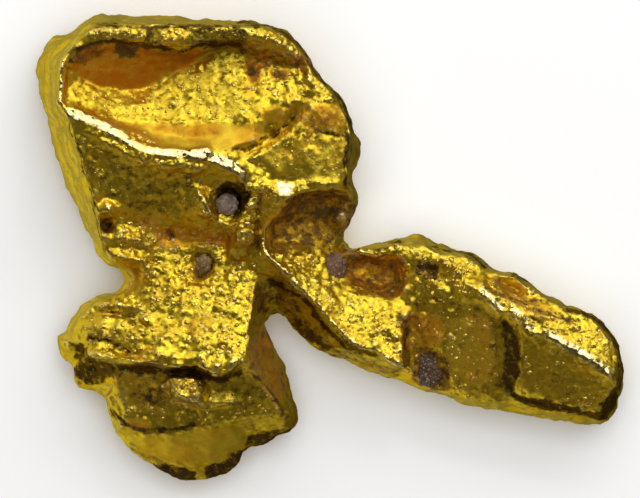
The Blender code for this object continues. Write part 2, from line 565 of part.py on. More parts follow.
def lumpy_grain(name, place, half_widths, swell=0.0):
    """A knobbly pebble of matrix, swollen by a clearance where it cuts its own socket."""
    bpy.ops.mesh.primitive_ico_sphere_add(subdivisions=2, radius=1, location=(0, 0, 0))
    grain = bpy.context.object
    grain.name = name
    middle = Vector(in_millimetres(place))
    for point in grain.data.vertices:
        lump = 1 + GRAIN_LUMPS * noise.noise(point.co * GRAIN_LUMP_RATE + middle)
        point.co = Vector(c * (half * lump + swell) for c, half in zip(point.co, half_widths)) + middle
    return grain


def paint(body, name, finish):
    colour, roughness, metallic = finish
    material = bpy.data.materials.new(name)
    material.use_nodes = True
    shader = material.node_tree.nodes["Principled BSDF"]
    shader.inputs["Base Color"].default_value = (*colour, 1.0)
    shader.inputs["Roughness"].default_value = roughness
    shader.inputs["Metallic"].default_value = metallic
    body.data.materials.clear()
    body.data.materials.append(material)


def clear_scene():
    for item in list(bpy.data.objects):
        bpy.data.objects.remove(item, do_unlink=True)


def gold_crystal():
    body = surveyed_solid("gold_crystal")
    apply_modifier(body, "REMESH", mode="VOXEL", voxel_size=FINE_CELL)
    apply_modifier(body, "SMOOTH", **SMOOTHING)
    roughen(body)
    apply_modifier(body, "DECIMATE", ratio=GOLD_TRIANGLES / triangle_count(body))
    cut_flats(body)
    for name, (place, half_widths) in GRAINS.items():
        subtract(body, lumpy_grain(name + "_cutter", place, half_widths, GRAIN_CLEARANCE))
    paint(body, "gold", GOLD)
    return body


def main():
    clear_scene()
    made = [gold_crystal()]
    for name, (place, half_widths) in GRAINS.items():
        grain = lumpy_grain(name, place, half_widths)
        paint(grain, "matrix_" + name.rsplit("_", 1)[-1], MATRIX)
        made.append(grain)
    for body in made:
        body.data.transform(Matrix.Scale(METRES, 4))


main()
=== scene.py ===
"""Gold crystal specimen: the looks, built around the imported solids.

The gold is surveyed like ground from an outline and named height lines, remeshed finely, and then
carries its relief: crests, pits, beads, growth steps and the grain of worn metal.
"""

import json
import math
import random

import bmesh
import bpy
import numpy as np
from mathutils import Matrix, Vector, geometry, noise
from mathutils.bvhtree import BVHTree
from mathutils.kdtree import KDTree

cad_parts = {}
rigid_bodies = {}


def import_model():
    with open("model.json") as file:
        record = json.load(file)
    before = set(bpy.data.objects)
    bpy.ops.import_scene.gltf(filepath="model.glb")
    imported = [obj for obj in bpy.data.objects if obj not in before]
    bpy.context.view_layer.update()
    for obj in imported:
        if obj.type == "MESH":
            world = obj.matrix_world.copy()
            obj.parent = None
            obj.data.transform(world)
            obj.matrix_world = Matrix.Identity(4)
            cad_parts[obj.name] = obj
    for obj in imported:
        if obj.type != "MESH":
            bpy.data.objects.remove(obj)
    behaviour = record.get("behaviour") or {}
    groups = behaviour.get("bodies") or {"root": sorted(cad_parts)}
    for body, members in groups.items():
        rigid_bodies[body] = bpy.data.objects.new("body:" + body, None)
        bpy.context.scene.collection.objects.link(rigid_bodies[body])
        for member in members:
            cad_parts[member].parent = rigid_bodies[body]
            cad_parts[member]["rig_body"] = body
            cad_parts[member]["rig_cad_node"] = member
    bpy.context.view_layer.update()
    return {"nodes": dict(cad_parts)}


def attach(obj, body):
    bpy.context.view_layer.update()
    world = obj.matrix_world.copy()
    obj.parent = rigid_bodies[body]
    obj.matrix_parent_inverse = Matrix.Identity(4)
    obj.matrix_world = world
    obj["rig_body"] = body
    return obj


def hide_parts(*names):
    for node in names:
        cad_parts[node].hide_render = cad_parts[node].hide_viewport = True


bl_info = {
    "name": "Gold Crystal Specimen",
    "version": (1, 0, 0),
    "blender": (4, 5, 0),
    "location": "View3D > Sidebar > Specimen",
    "description": "Builds a waterworn gold crystal with its matrix grains and a plain stage",
    "category": "Object",
}

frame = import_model()

# Plan points are (east, south) in plan units, and the outline spans these ranges.
LENGTH = 18.0
GIRDLE_Z = 1.25
GIRDLE_WAVE = 0.3
GIRDLE_WAVE_RATE = 0.02
BELLY_Z = 0.5
BELLY_WAVE = 0.5
BELLY_INSET = 6.0
BELLY_WAVE_RATE = 0.9
WEST, EAST = 36.0, 623.0
NORTH, SOUTH = 13.0, 481.0
UNIT = LENGTH / (EAST - WEST)
SAME_POINT = 1e-4
METRES = 0.001

# How finely the gold is made, in millimetres, and how its relief repeats, per millimetre.
FINE_CELL = 0.048
SMOOTHING_STEPS = 5
MOST_TRIANGLES = 192000
TABLE_THICKNESS = 4.0
RELIEF = 0.036
SIDE_RELIEF = 0.05  # more of it on the steep sides
RELIEF_RATE = 1.6
RELIEF_OCTAVES = 3
CRYSTALS = ((3.6, 1.0), (7.6, 0.6))  # crystals to a millimetre, and the share of their relief
CELL_SPREAD = 97.0
HALF = Vector((0.5, 0.5, 0.5))
CLEFT_RISE = 1.8  # how fast a crystal's top rises out of its clefts, and then leans
LEAN_RISE = 3.0
MEAN_TOP = 0.4
DOME_REACH = 0.8
PATCH_SOFTNESS = 4.0  # how gradually the edge of a patch begins, in plan units
POLISH_SOFTNESS = 3.0
BROKEN_SOFTNESS = 10.0
FRAYING = ((1.2, 3.0), (4.0, 2.2))  # waves to a millimetre, and how far they reach in plan units
CRYSTAL_SEED = 1
GRAIN_NOISE_SEED = 2
CLUMP_SEED = 4
FRAYING_SEED = 20
FRAYING_OCTAVES = 2
NOISE_STEPS = (13.7, 7.1, 3.3)  # how far each next seed moves a pattern
CRYSTAL_STEPS = (5.1, 9.7, 2.9)
DOME_STEPS = (3.3, 6.1, 8.7)
CLUMPS = ((2.0, 1.0), (0.8, 2.0))  # clumps to a millimetre, and the share of their relief
GRAIN_RATE = 7.0
GRAIN_OCTAVES = 3
CALM_GRAIN = 0.15  # share of the grain that is left on a smooth face
BEAD_RATE = 0.7  # radians to a plan unit
BEAD_DRIFT = 0.37  # a slower wave makes the beads uneven, its start moved by the crest's height
BEAD_START = 90
PIT_WIDTH = 0.62  # share of a pit's radius

# Dark dirt and painted shade lie in pits deeper than the first of these, all of it in those as deep as the
# second.
SHALLOW_PIT = -0.05
DEEP_PIT = -0.12
PIT_DIRT_AND_SHADE = 0.8  # how wide the dirt and painted shade lie, as shares of a pit's radius and of a crease's half width
CREASE_DIRT_AND_SHADE = 1.25

# The upright part of the normal at which something begins, and at which it is whole.
FACING_UP = (0.0, 0.35)
NOT_UNDER = (-0.35, 0.05)
ABOVE_BELLY = (-0.3, 0.1)
RELIEF_TOP = (0.25, 0.6)
UNSHADED_TOP = (0.2, 0.5)
DIRT_AND_SHADE_HOLD = (-0.1, 0.16)

# What the gold's material reads, and where wear with its painted highlight and stain with its painted shade
# begin and are whole, in degrees over an edge.
MASKS = ("smooth", "stain", "dirt_and_shade", "skin_and_side_shade", "crest", "worn", "hollow_stain_and_shade")
WORN_HIGHLIGHT_BEND = (5.0, 22.0)
HOLLOW_BEND = (6.0, 24.0)
BEND_ROUNDS = 2
UNDER_ROUGH = 0.7  # how rough the underside is, as a share of the top
SIDE_ROUGH = 0.3
WALL_DIRT_AND_SHADE = 0.4  # the share of the dirt and painted shade that is kept on a sheer wall

# Fine grains. A lump as small as the largest grain, in plan units, is made as a grain of its own.
LARGEST_GRAIN = 4
NAMED_GRAIN = 0.95  # share of a lump's radius
GRAIN_LUMPS = 0.3  # share of a grain's size
GRAIN_SINK = 0.4  # share of a grain's height
GRAIN_LUMP_RATE = 1.4
GRAIN_WIDTHS = (0.6, 1.0)  # shares of a grain's length
GRAIN_HEIGHTS = (0.3, 0.6)
GRAIN_SIDES = 8
GRAIN_RINGS = 5
# How far each grain is polished and painted paler as a highlight.
GRAIN_SHINE = 0.4
STEEPEST_PERCH = 0.45  # upright part of the normal
GRAIN_SEED = 11

# The crust of a grain of matrix.
CRUST_LEVELS = 3
SAME_CORNER = 1e-8  # metres

NODE_STEP = 60  # between nodes in the editor

# Scales of the shaders' grain, per metre.
GOLD_GRAIN_SCALE = 7000.0
MATRIX_GRAIN_SCALE = 9000.0
FACET_SCALE = 9000.0

CELL_RATE = 0.8  # shares of the scale of the grain
BLOTCH_RATE = 0.16
MOTTLE_RATE = 0.5
SPECK_RATE = 1.7
FACETS = ((1.0, 1.0), (0.43, 0.6))  # sizes of the small crystal faces, and how far each size leans
FACET_LEAN = 2.4

# Where an effect of the finish begins and is whole, as values of its mask or noise.
BLOTCH_RANGE = (0.35, 0.65)
SPECK_RANGE = (0.56, 0.7)
STAIN_RANGE = (0.12, 0.95)
DIRT_AND_SHADE_RANGE = (0.4, 0.78)

# How strong each effect of the finish is, as a share.
SIDE_SHADE_COVER = 0.86
HOLLOW_STAIN_AND_SHADE = 0.6
MOTTLE = 1.8
STAIN_MOTTLE = 0.7
STAIN_DRIFT = 0.7
STAIN_DULLNESS = 0.4
# Polish on worn edges and crests also paints them paler, as a highlight.
WORN_POLISH_AND_HIGHLIGHT = 0.6
HIGHLIGHT_PALENESS = 0.8
POLISHED_ROUGHNESS = 0.12
SPECK_ROUGHNESS = 0.06
SMOOTH_ROUGHNESS = 0.08
DIRT_AND_SHADE_ROUGHNESS = 0.12
SIDE_CALM = 0.8
CALM_HEIGHT = 0.92
CALM_FACETS = 0.85
MATRIX_DARK = 0.35
MATRIX_BUMP = 0.03  # millimetres
MATRIX_STRENGTH = 0.8
MATRIX_ROUGHNESS = 0.4
BLOTCH_ROUGHNESS = 0.25

# The room, as shares of its tint and parts of the direction that is looked in.
ROOM_TINT = (1.0, 0.82, 0.55)
WHITE = (1.0, 1.0, 1.0)
GREY_WALL = 0.5
ROOM_PATCH_SCALE = 2.6
ROOM_STREAK_SCALE = 7.0
STREAK_RANGE = (0.4, 0.7)
CEILING_SHADES = (0.55, 2.4)
CEILING_RISE = (0.3, 0.93)
HORIZON_FALL = (0.02, -0.14)
PALE_SIDE = (-0.99, 0.12, 0)
PALE_RANGE = (-0.7, 0.6)

# name: (degrees clockwise from north, degrees down from overhead, distance, size), in metres
SOFTBOXES = {
    "key_softbox": (14, 50, 0.15, (0.32, 0.2)),
    "key_strip": (18, 42, 0.14, (0.11, 0.016)),
    "key_lamp": (14, 40, 0.14, (0.014, 0.009)),
}
WASH_HEIGHT = 0.4
WASH_SIZE = (0.4, 0.4)
AIM = (0, 0, 0.002)
FLOOR_SIZE = 4.0
FLOOR_DROP = 0.00001
FLOOR_MOTTLE_SCALE = 60.0
FLOOR_PALENESS = 1.03
FLOOR_ROUGHNESS = 0.8

# The camera looks straight down on a frame of this many plan units.
IMAGE = (640, 498)
SENSOR = 36.0
LENS = 900.0
NEAREST_SEEN = 0.01
FARTHEST_SEEN = 10

# ---------------------------------------------------------------------------------------------
# The girdle outline, clockwise from the neck's west notch. Points are (east, south).
# ---------------------------------------------------------------------------------------------
HEAD_OUTLINE = [
    (126, 279), (120, 269), (108, 265), (100, 258), (95, 246), (82, 222), (68, 190), (57, 160), (48, 125),
    (40, 95), (36, 76), (37, 60), (44, 46), (54, 38), (66, 35), (78, 27), (92, 14.5), (101, 13), (140, 16),
    (180, 18), (220, 21), (250, 21), (272, 25), (290, 34), (303, 48), (311, 60), (313, 68), (326, 82),
    (340, 97), (349, 115), (354, 130), (360, 142), (361, 152), (357, 164), (353, 171), (354, 185),
    (358, 197), (357, 210), (351, 222), (344, 232), (343, 241),
]
ARM_OUTLINE = [
    (350, 248), (363, 247), (378, 243), (390, 240), (400, 239), (410, 235), (420, 235), (434, 243),
    (452, 248), (470, 252), (482, 259), (490, 267), (500, 271), (515, 272), (530, 283), (548, 294),
    (566, 305), (582, 309), (594, 314), (605, 325), (615, 338), (621, 353), (623, 370), (621, 390),
    (617, 408), (609, 421), (600, 426), (580, 425), (555, 421), (525, 416), (500, 411), (470, 406),
    (440, 396), (420, 389), (395, 380), (370, 372), (345, 361), (322, 353), (306, 341), (292, 329),
]
FOOT_OUTLINE = [
    (287, 319), (278, 314), (269, 316), (264, 324), (268, 333), (277, 349), (286, 367), (290, 390),
    (296, 405), (297, 420), (291, 432), (278, 438), (264, 446), (250, 447), (243, 455), (237, 466),
    (226, 475), (205, 480), (185, 481), (165, 474), (145, 462), (128, 447), (117, 430), (109, 412),
    (103, 397), (95, 391), (78, 388), (72, 380), (72, 364), (62, 357), (57, 345), (56, 335), (66, 330),
    (72, 318), (81, 306), (97, 296), (115, 291), (123, 286),
]

# ---------------------------------------------------------------------------------------------
# Lines over the top. Each point is (east, south, height in millimetres).
# ---------------------------------------------------------------------------------------------
HEAD_TOP = {
    "west_edge": [
        (64, 62, 4.45), (61, 83, 4.45), (60, 103, 4.5), (66, 112, 4.6), (71, 125, 4.58), (76, 140, 4.52),
        (84, 165, 4.38), (93, 195, 4.12), (98, 214, 3.96), (102, 235, 3.65), (107, 250, 3.42),
        (116, 261, 3.3), (130, 269, 3.06), (136, 279, 2.75),
    ],
    "corner_edge": [(64, 62, 4.45), (70, 52, 4.35), (82, 40, 4.4), (95, 29, 4.5)],
    "corner_chamfer": [(47, 72, 2.7), (50, 57, 3.0), (60, 47, 3.15), (74, 38, 3.2), (88, 25, 3.1)],
    "north_shoulder": [
        (95, 29, 4.5), (115, 27, 4.6), (140, 27, 4.6), (165, 26, 4.6), (190, 27, 4.55), (215, 27, 4.5),
        (240, 28, 4.4), (262, 29, 4.22), (280, 35, 4.12), (294, 44, 3.98), (303, 54, 3.86), (309, 66, 3.82),
    ],
    "rim_beads": [(250, 36, 4.4), (262, 38, 4.33), (275, 43, 4.25), (287, 50, 4.12), (297, 58, 3.98)],
    "rim_cluster_foot": [(160, 31, 4.5), (172, 30, 4.5), (187, 31, 4.48)],
    "rim_cluster": [(161, 41, 4.6), (170, 43, 4.64), (179, 41, 4.64), (187, 39, 4.56)],
    "rim_lip": [
        (70, 64, 4.35), (80, 51, 4.4), (92, 45, 4.5), (110, 42, 4.6), (130, 41, 4.62), (142, 42, 4.55),
        (150, 46, 4.5), (165, 49, 4.5), (185, 48, 4.45), (200, 42, 4.4), (220, 41, 4.35), (245, 43, 4.25),
        (262, 47, 4.16), (277, 53, 4.06), (294, 62, 3.9),
    ],
    "hopper_valley": [
        (70, 72, 4.0), (84, 79, 3.76), (100, 87, 3.62), (120, 91, 3.42), (140, 89, 3.28), (150, 84, 3.24),
        (166, 77, 3.24), (185, 66, 3.25), (203, 57, 3.28), (217, 51, 3.34), (235, 50, 3.4), (252, 58, 3.45),
        (266, 63, 3.5), (282, 67, 3.56), (300, 68, 3.62),
    ],
    "hopper_wall": [
        (84, 58, 4.1), (100, 55, 3.98), (120, 53, 3.9), (145, 56, 3.85), (170, 58, 3.82), (190, 55, 3.9),
        (205, 50, 3.95),
    ],
    "west_rim_foot": [(70, 72, 4.0), (71, 86, 4.02), (72, 100, 4.2)],
    "bright_face": [
        (95, 102, 3.95), (120, 108, 3.76), (150, 105, 3.58), (180, 100, 3.59), (210, 94, 3.66),
        (240, 88, 3.74),
    ],
    "boat_start": [
        (88, 109, 4.15), (112, 116, 3.98), (140, 122, 3.86), (170, 125, 3.88), (200, 126, 3.96),
        (230, 126, 4.05), (252, 122, 4.05),
    ],
    "boat_middle": [
        (113, 120.5, 4.07), (128, 126, 4.02), (143, 131, 3.99), (156, 135, 3.99), (170, 137, 4.0),
        (185, 139, 4.02), (200, 138.5, 4.06), (218, 138, 4.11), (235, 137, 4.13), (252, 132, 4.08),
    ],
    "boat_end": [
        (80, 110, 4.38), (97, 117, 4.3), (114, 124, 4.22), (132, 132, 4.2), (150, 140, 4.24),
        (170, 146, 4.28), (190, 149, 4.3), (210, 146, 4.28), (235, 147, 4.3), (256, 141, 4.16),
    ],
    "crown_north_edge": [
        (68, 108, 4.58), (78, 110.5, 4.52), (88, 115, 4.5), (98, 120, 4.49), (110, 125, 4.48),
        (122, 131.5, 4.48), (134, 141, 4.48), (146, 147, 4.48), (160, 149, 4.48), (180, 150, 4.48),
        (199, 150, 4.48), (208, 148, 4.5), (216, 155, 4.47), (226, 157, 4.42), (237, 163, 4.37),
        (246, 171, 4.27),
    ],
    "crown_ridge": [
        (70, 119, 4.63), (82, 121, 4.61), (92, 125, 4.6), (104, 131, 4.59), (117, 138, 4.59),
        (130, 145.5, 4.59), (142, 151, 4.59), (155, 155, 4.58), (170, 157, 4.58), (188, 158.5, 4.59),
        (203, 161, 4.6), (212, 162, 4.58), (220, 165.5, 4.53), (231, 171, 4.47), (240, 177, 4.38),
        (247, 184, 4.2),
    ],
    "south_of_ridge": [
        (78, 131, 4.53), (95, 143, 4.4), (116, 156, 4.34), (139, 167, 4.3), (165, 173, 4.26),
        (185, 175, 4.22), (205, 176, 4.18), (222, 178, 4.12), (234, 186, 3.98),
    ],
    "skirt_foot": [
        (97, 130.5, 4.55), (109, 136.5, 4.55), (121, 143, 4.55), (133, 149.5, 4.55), (145, 154.5, 4.55),
        (160, 158, 4.53), (176, 160, 4.53), (192, 161.5, 4.53), (206, 164, 4.5),
    ],
    "skirt_lumps": [
        (94, 136, 4.61), (102, 139, 4.56), (110, 144, 4.62), (118, 148, 4.56), (126, 154, 4.62),
        (135, 157, 4.55), (144, 161, 4.61), (154, 163, 4.54), (164, 166, 4.6), (178, 168, 4.6),
        (190, 168, 4.53), (200, 171, 4.57),
    ],
    "dark_face": [(92, 165, 4.25), (112, 175, 4.08), (135, 182, 3.98), (160, 186, 3.92), (180, 186, 3.96)],
    "dark_face_low": [(128, 208, 3.66), (150, 212, 3.5), (180, 214, 3.55)],
    "west_knob_foot": [(97, 199, 3.93), (107, 198, 3.86), (118, 200, 3.8)],
    "west_knob": [(100, 212, 4.0), (108, 211, 4.02), (117, 208, 3.94)],
    "west_pit": [(105, 219, 3.48), (110, 228, 3.38)],
    "arc_ridge": [(190, 183, 4.12), (198, 192, 4.14), (205, 203, 4.17), (210, 213, 4.17), (216, 221, 3.8)],
    "arc_foot": [(197, 178, 4.1), (206, 186, 4.02), (212, 193, 3.98)],
    "neck_valley": [(140, 226, 3.25), (165, 236, 2.92), (190, 241, 2.8), (212, 243, 2.8), (226, 240, 2.86)],
    "neck_pit_floor": [(200, 258, 2.62), (206, 268, 2.6)],
    "neck_bump_foot": [(120, 224, 3.38), (130, 223, 3.34), (138, 227, 3.26), (150, 231, 3.14)],
    "neck_bumps": [(113, 239, 3.5), (126, 237, 3.52), (138, 240, 3.44), (150, 246, 3.28)],
    "neck_bumps_low_foot": [(112, 247, 3.34), (124, 246, 3.32), (138, 249, 3.22), (152, 254, 3.06)],
    "neck_bumps_low": [(115, 256, 3.46), (128, 258, 3.46), (143, 262, 3.32), (157, 266, 3.06)],
    "tongue_north": [(246, 160, 4.17), (256, 164, 4.15), (266, 172, 4.13), (276, 181, 4.1)],
    "blob_north": [(276, 181, 4.1), (285, 182, 4.07), (294, 184, 4.04), (304, 186, 4.0)],
    "tongue_south": [
        (247, 184, 4.2), (256, 182, 4.24), (264, 186, 4.24), (271, 192, 4.24), (279, 197, 4.24),
        (291, 199, 4.2),
    ],
    "cavern_rim": [
        (291, 199, 4.2), (284, 205, 4.0), (277, 213, 3.85), (271, 220, 3.68), (265, 229, 3.46),
        (264, 238, 3.42), (264, 247, 3.48), (268, 256, 3.54), (277, 264, 3.54), (286, 272, 3.5),
        (290, 280, 3.42),
    ],
    "grain_pit_rim": [
        (211, 195, 3.97), (221, 184, 4.02), (238, 185, 3.98), (246, 195, 3.7), (244, 208, 3.6),
        (238, 218, 3.6), (227, 224, 3.55), (214, 218, 3.76), (211, 206, 3.9),
    ],
    "grain_pit_floor": [
        (217, 199, 3.4), (230, 189, 3.34), (241, 199, 3.3), (238, 212, 3.32), (219, 214, 3.38),
    ],
    "column": [
        (253, 190, 4.14), (253, 196, 3.98), (252, 207, 4.08), (250, 213, 3.88), (249, 226, 4.04),
        (248, 241, 4.14), (248, 247, 3.6), (249, 252, 3.22),
    ],
    "column_west": [(242, 216, 3.7), (239, 228, 3.92), (238, 240, 4.04)],
    "column_groove": [(261, 197, 4.0), (258, 211, 3.76), (257, 227, 3.5), (257, 243, 3.3)],
    "groove": [
        (246, 153, 4.05), (262, 146, 3.88), (272, 138, 3.8), (285, 126, 3.8), (298, 112, 3.86),
        (305, 104, 3.92),
    ],
    "east_block_edge": [
        (253, 159, 4.26), (267, 152, 4.18), (278, 144, 4.16), (292, 131, 4.15), (303, 118, 4.1),
        (311, 109, 4.07),
    ],
    "east_block_mid": [(275, 170, 4.19), (305, 155, 4.12), (328, 148, 4.0)],
    "east_shoulder": [
        (309, 66, 3.82), (318, 79, 3.82), (330, 91, 3.8), (341, 106, 3.78), (348, 121, 3.78),
        (350, 133, 3.82), (348, 150, 3.88), (347, 170, 3.86), (347, 184, 3.78), (350, 193, 3.55),
    ],
    "east_streaks": [(307, 81, 3.92), (317, 94, 3.98), (328, 106, 4.0), (337, 119, 3.96)],
    "bright_face_east": [(262, 84, 3.72), (285, 84, 3.78), (300, 92, 3.88)],
    "bright_face_end": [(264, 114, 4.02), (280, 108, 4.01), (296, 98, 4.0)],
    "cliff_top": [
        (291, 199, 4.2), (298, 193, 4.16), (306, 190, 4.12), (320, 190, 4.04), (334, 188, 3.96),
        (350, 193, 3.55),
    ],
    "cliff_foot": [(291, 209, 3.0), (303, 201, 2.74), (320, 199, 2.5), (338, 198, 2.35), (351, 204, 2.1)],
    "cavern_floor": [(281, 222, 2.62), (300, 222, 2.46), (318, 222, 2.3)],
    "cavern_bulge": [(327, 212, 2.36), (334, 213, 2.56), (342, 216, 2.58), (350, 216, 2.34)],
    "cavern_bulge_foot": [(324, 228, 2.26), (335, 230, 2.2), (345, 228, 2.04)],
    "cavern_mouth": [(274, 242, 2.7), (296, 242, 2.54), (318, 242, 2.38), (334, 238, 2.14)],
}
ARM_TOP = {
    "arm_root": [(268, 250, 3.15), (286, 252, 2.95), (305, 253, 2.8), (318, 255, 2.6)],
    "recess_rim": [
        (318, 255, 2.6), (320, 270, 2.62), (331, 285, 2.68), (358, 295, 2.68), (378, 300, 2.7),
        (396, 300, 2.76), (411, 305, 2.78),
    ],
    "recess_floor": [
        (334, 259, 2.1), (347, 268, 2.0), (362, 280, 1.95), (382, 285, 1.95), (396, 280, 2.0),
        (388, 268, 1.95), (366, 262, 1.9),
    ],
    "recess_north": [
        (347, 252, 2.25), (360, 252, 2.42), (374, 254, 2.55), (390, 253, 2.7), (402, 257, 2.78),
        (409, 268, 2.76), (411, 285, 2.78), (411, 305, 2.78),
    ],
    "arm_crest": [
        (290, 280, 3.35), (305, 292, 3.3), (319, 305, 3.3), (331, 321, 3.3), (345, 336, 3.3),
        (360, 347, 3.34), (378, 352, 3.37), (391, 360, 3.37), (402, 365, 3.3),
    ],
    "bright_slope": [
        (300, 268, 3.05), (318, 285, 3.0), (345, 310, 2.98), (372, 316, 2.92), (395, 314, 2.92),
    ],
    "bright_lump": [(365, 334, 3.15), (382, 331, 3.11), (395, 337, 3.13), (392, 349, 3.22)],
    "drop_top": [(408, 310, 2.85), (403, 322, 3.0), (402, 340, 3.16), (402, 354, 3.25), (402, 365, 3.3)],
    "drop_foot": [(416, 312, 2.6), (411, 325, 2.42), (409, 342, 2.36), (409, 356, 2.3), (409, 368, 2.24)],
    "north_shoulder": [
        (352, 251, 2.2), (366, 249.5, 2.4), (382, 247, 2.55), (398, 245, 2.68), (412, 247, 2.78),
        (428, 250, 2.84), (446, 254, 2.88), (462, 258, 2.86), (474, 263, 2.8), (485, 272, 2.72),
        (498, 276, 2.72), (513, 277, 2.76), (527, 288, 2.84), (545, 299, 2.9), (563, 309, 2.94),
        (580, 314, 2.96), (592, 319, 2.96), (602, 330, 2.96), (611, 343, 2.94), (616, 358, 2.93),
        (618, 372, 2.95), (616, 385, 2.92), (606, 394, 2.8), (604, 407, 2.5), (600, 417, 2.32),
    ],
    "clump_top": [(420, 262, 2.86), (440, 260, 3.0), (458, 264, 3.06), (462, 276, 3.22), (466, 285, 3.35)],
    "clump_low": [(418, 296, 2.84), (432, 285, 2.94), (450, 290, 3.04), (455, 300, 3.02)],
    "arm_ridge": [
        (466, 285, 3.35), (478, 291, 3.5), (490, 302, 3.55), (499, 313, 3.48), (509, 311, 3.54),
        (521, 321, 3.58), (531, 334, 3.54), (541, 333, 3.56), (560, 344, 3.52), (580, 355, 3.46),
        (600, 368, 3.38), (609, 375, 3.3), (616, 385, 2.92),
    ],
    "arm_ridge_north": [
        (482, 285, 3.42), (494, 296, 3.465), (504, 305, 3.39), (513, 305, 3.46), (525, 315, 3.5),
        (535, 327, 3.45), (546, 327, 3.47), (564, 338, 3.43), (584, 349, 3.37), (603, 362, 3.29),
        (613, 371, 3.2),
    ],
    "ridge_north_foot": [
        (492, 283, 3.22), (509, 297, 3.32), (526, 306, 3.31), (549, 318, 3.3), (569, 327, 3.25),
        (589, 336, 3.16), (607, 350, 3.08),
    ],
    "pocket_rim": [
        (487, 279, 2.84), (500, 290, 2.94), (514, 297, 2.94), (526, 297, 2.92), (525, 288, 2.83),
    ],
    "pocket_floor": [(497, 281, 2.5), (508, 286, 2.46), (518, 290, 2.5)],
    "tip_face_top": [
        (523, 344, 3.32), (545, 345, 3.36), (570, 360, 3.3), (596, 376, 3.16), (606, 384, 3.02),
    ],
    "tip_face_low": [
        (519, 372, 2.96), (528, 390, 2.84), (552, 400, 2.76), (580, 408, 2.66), (597, 410, 2.56),
    ],
    "south_groove": [
        (498, 386, 2.42), (510, 397, 2.42), (530, 405, 2.42), (555, 410, 2.4), (582, 415, 2.34),
        (600, 417, 2.32),
    ],
    "arm_valley": [(503, 322, 3.1), (506, 340, 2.86), (506, 360, 2.62), (502, 376, 2.46)],
    "brown_face_top": [(440, 308, 2.86), (462, 306, 3.06), (482, 308, 3.24), (494, 320, 3.2)],
    "brown_face": [
        (436, 340, 2.66), (462, 336, 2.86), (486, 334, 3.02), (493, 352, 2.84), (490, 374, 2.58),
    ],
    "brown_face_low": [(446, 366, 2.5), (455, 386, 2.36), (475, 393, 2.34), (490, 386, 2.44)],
    "dark_shelf": [(420, 318, 2.66), (432, 326, 2.62), (422, 338, 2.44)],
    "matrix_hollow": [(418, 352, 2.12), (430, 362, 2.02), (440, 378, 1.98), (424, 380, 1.96)],
    "south_shoulder": [
        (409, 368, 2.24), (420, 381, 2.0), (444, 391, 2.04), (470, 399, 2.12), (498, 404, 2.16),
    ],
    "south_wall_edge": [
        (276, 290, 2.55), (296, 303, 2.5), (314, 318, 2.45), (330, 334, 2.4), (346, 348, 2.36),
        (364, 358, 2.3), (388, 367, 2.24), (409, 368, 2.24),
    ],
    "crotch_wall": [(268, 282, 2.85), (262, 296, 2.6), (264, 310, 2.0)],
}
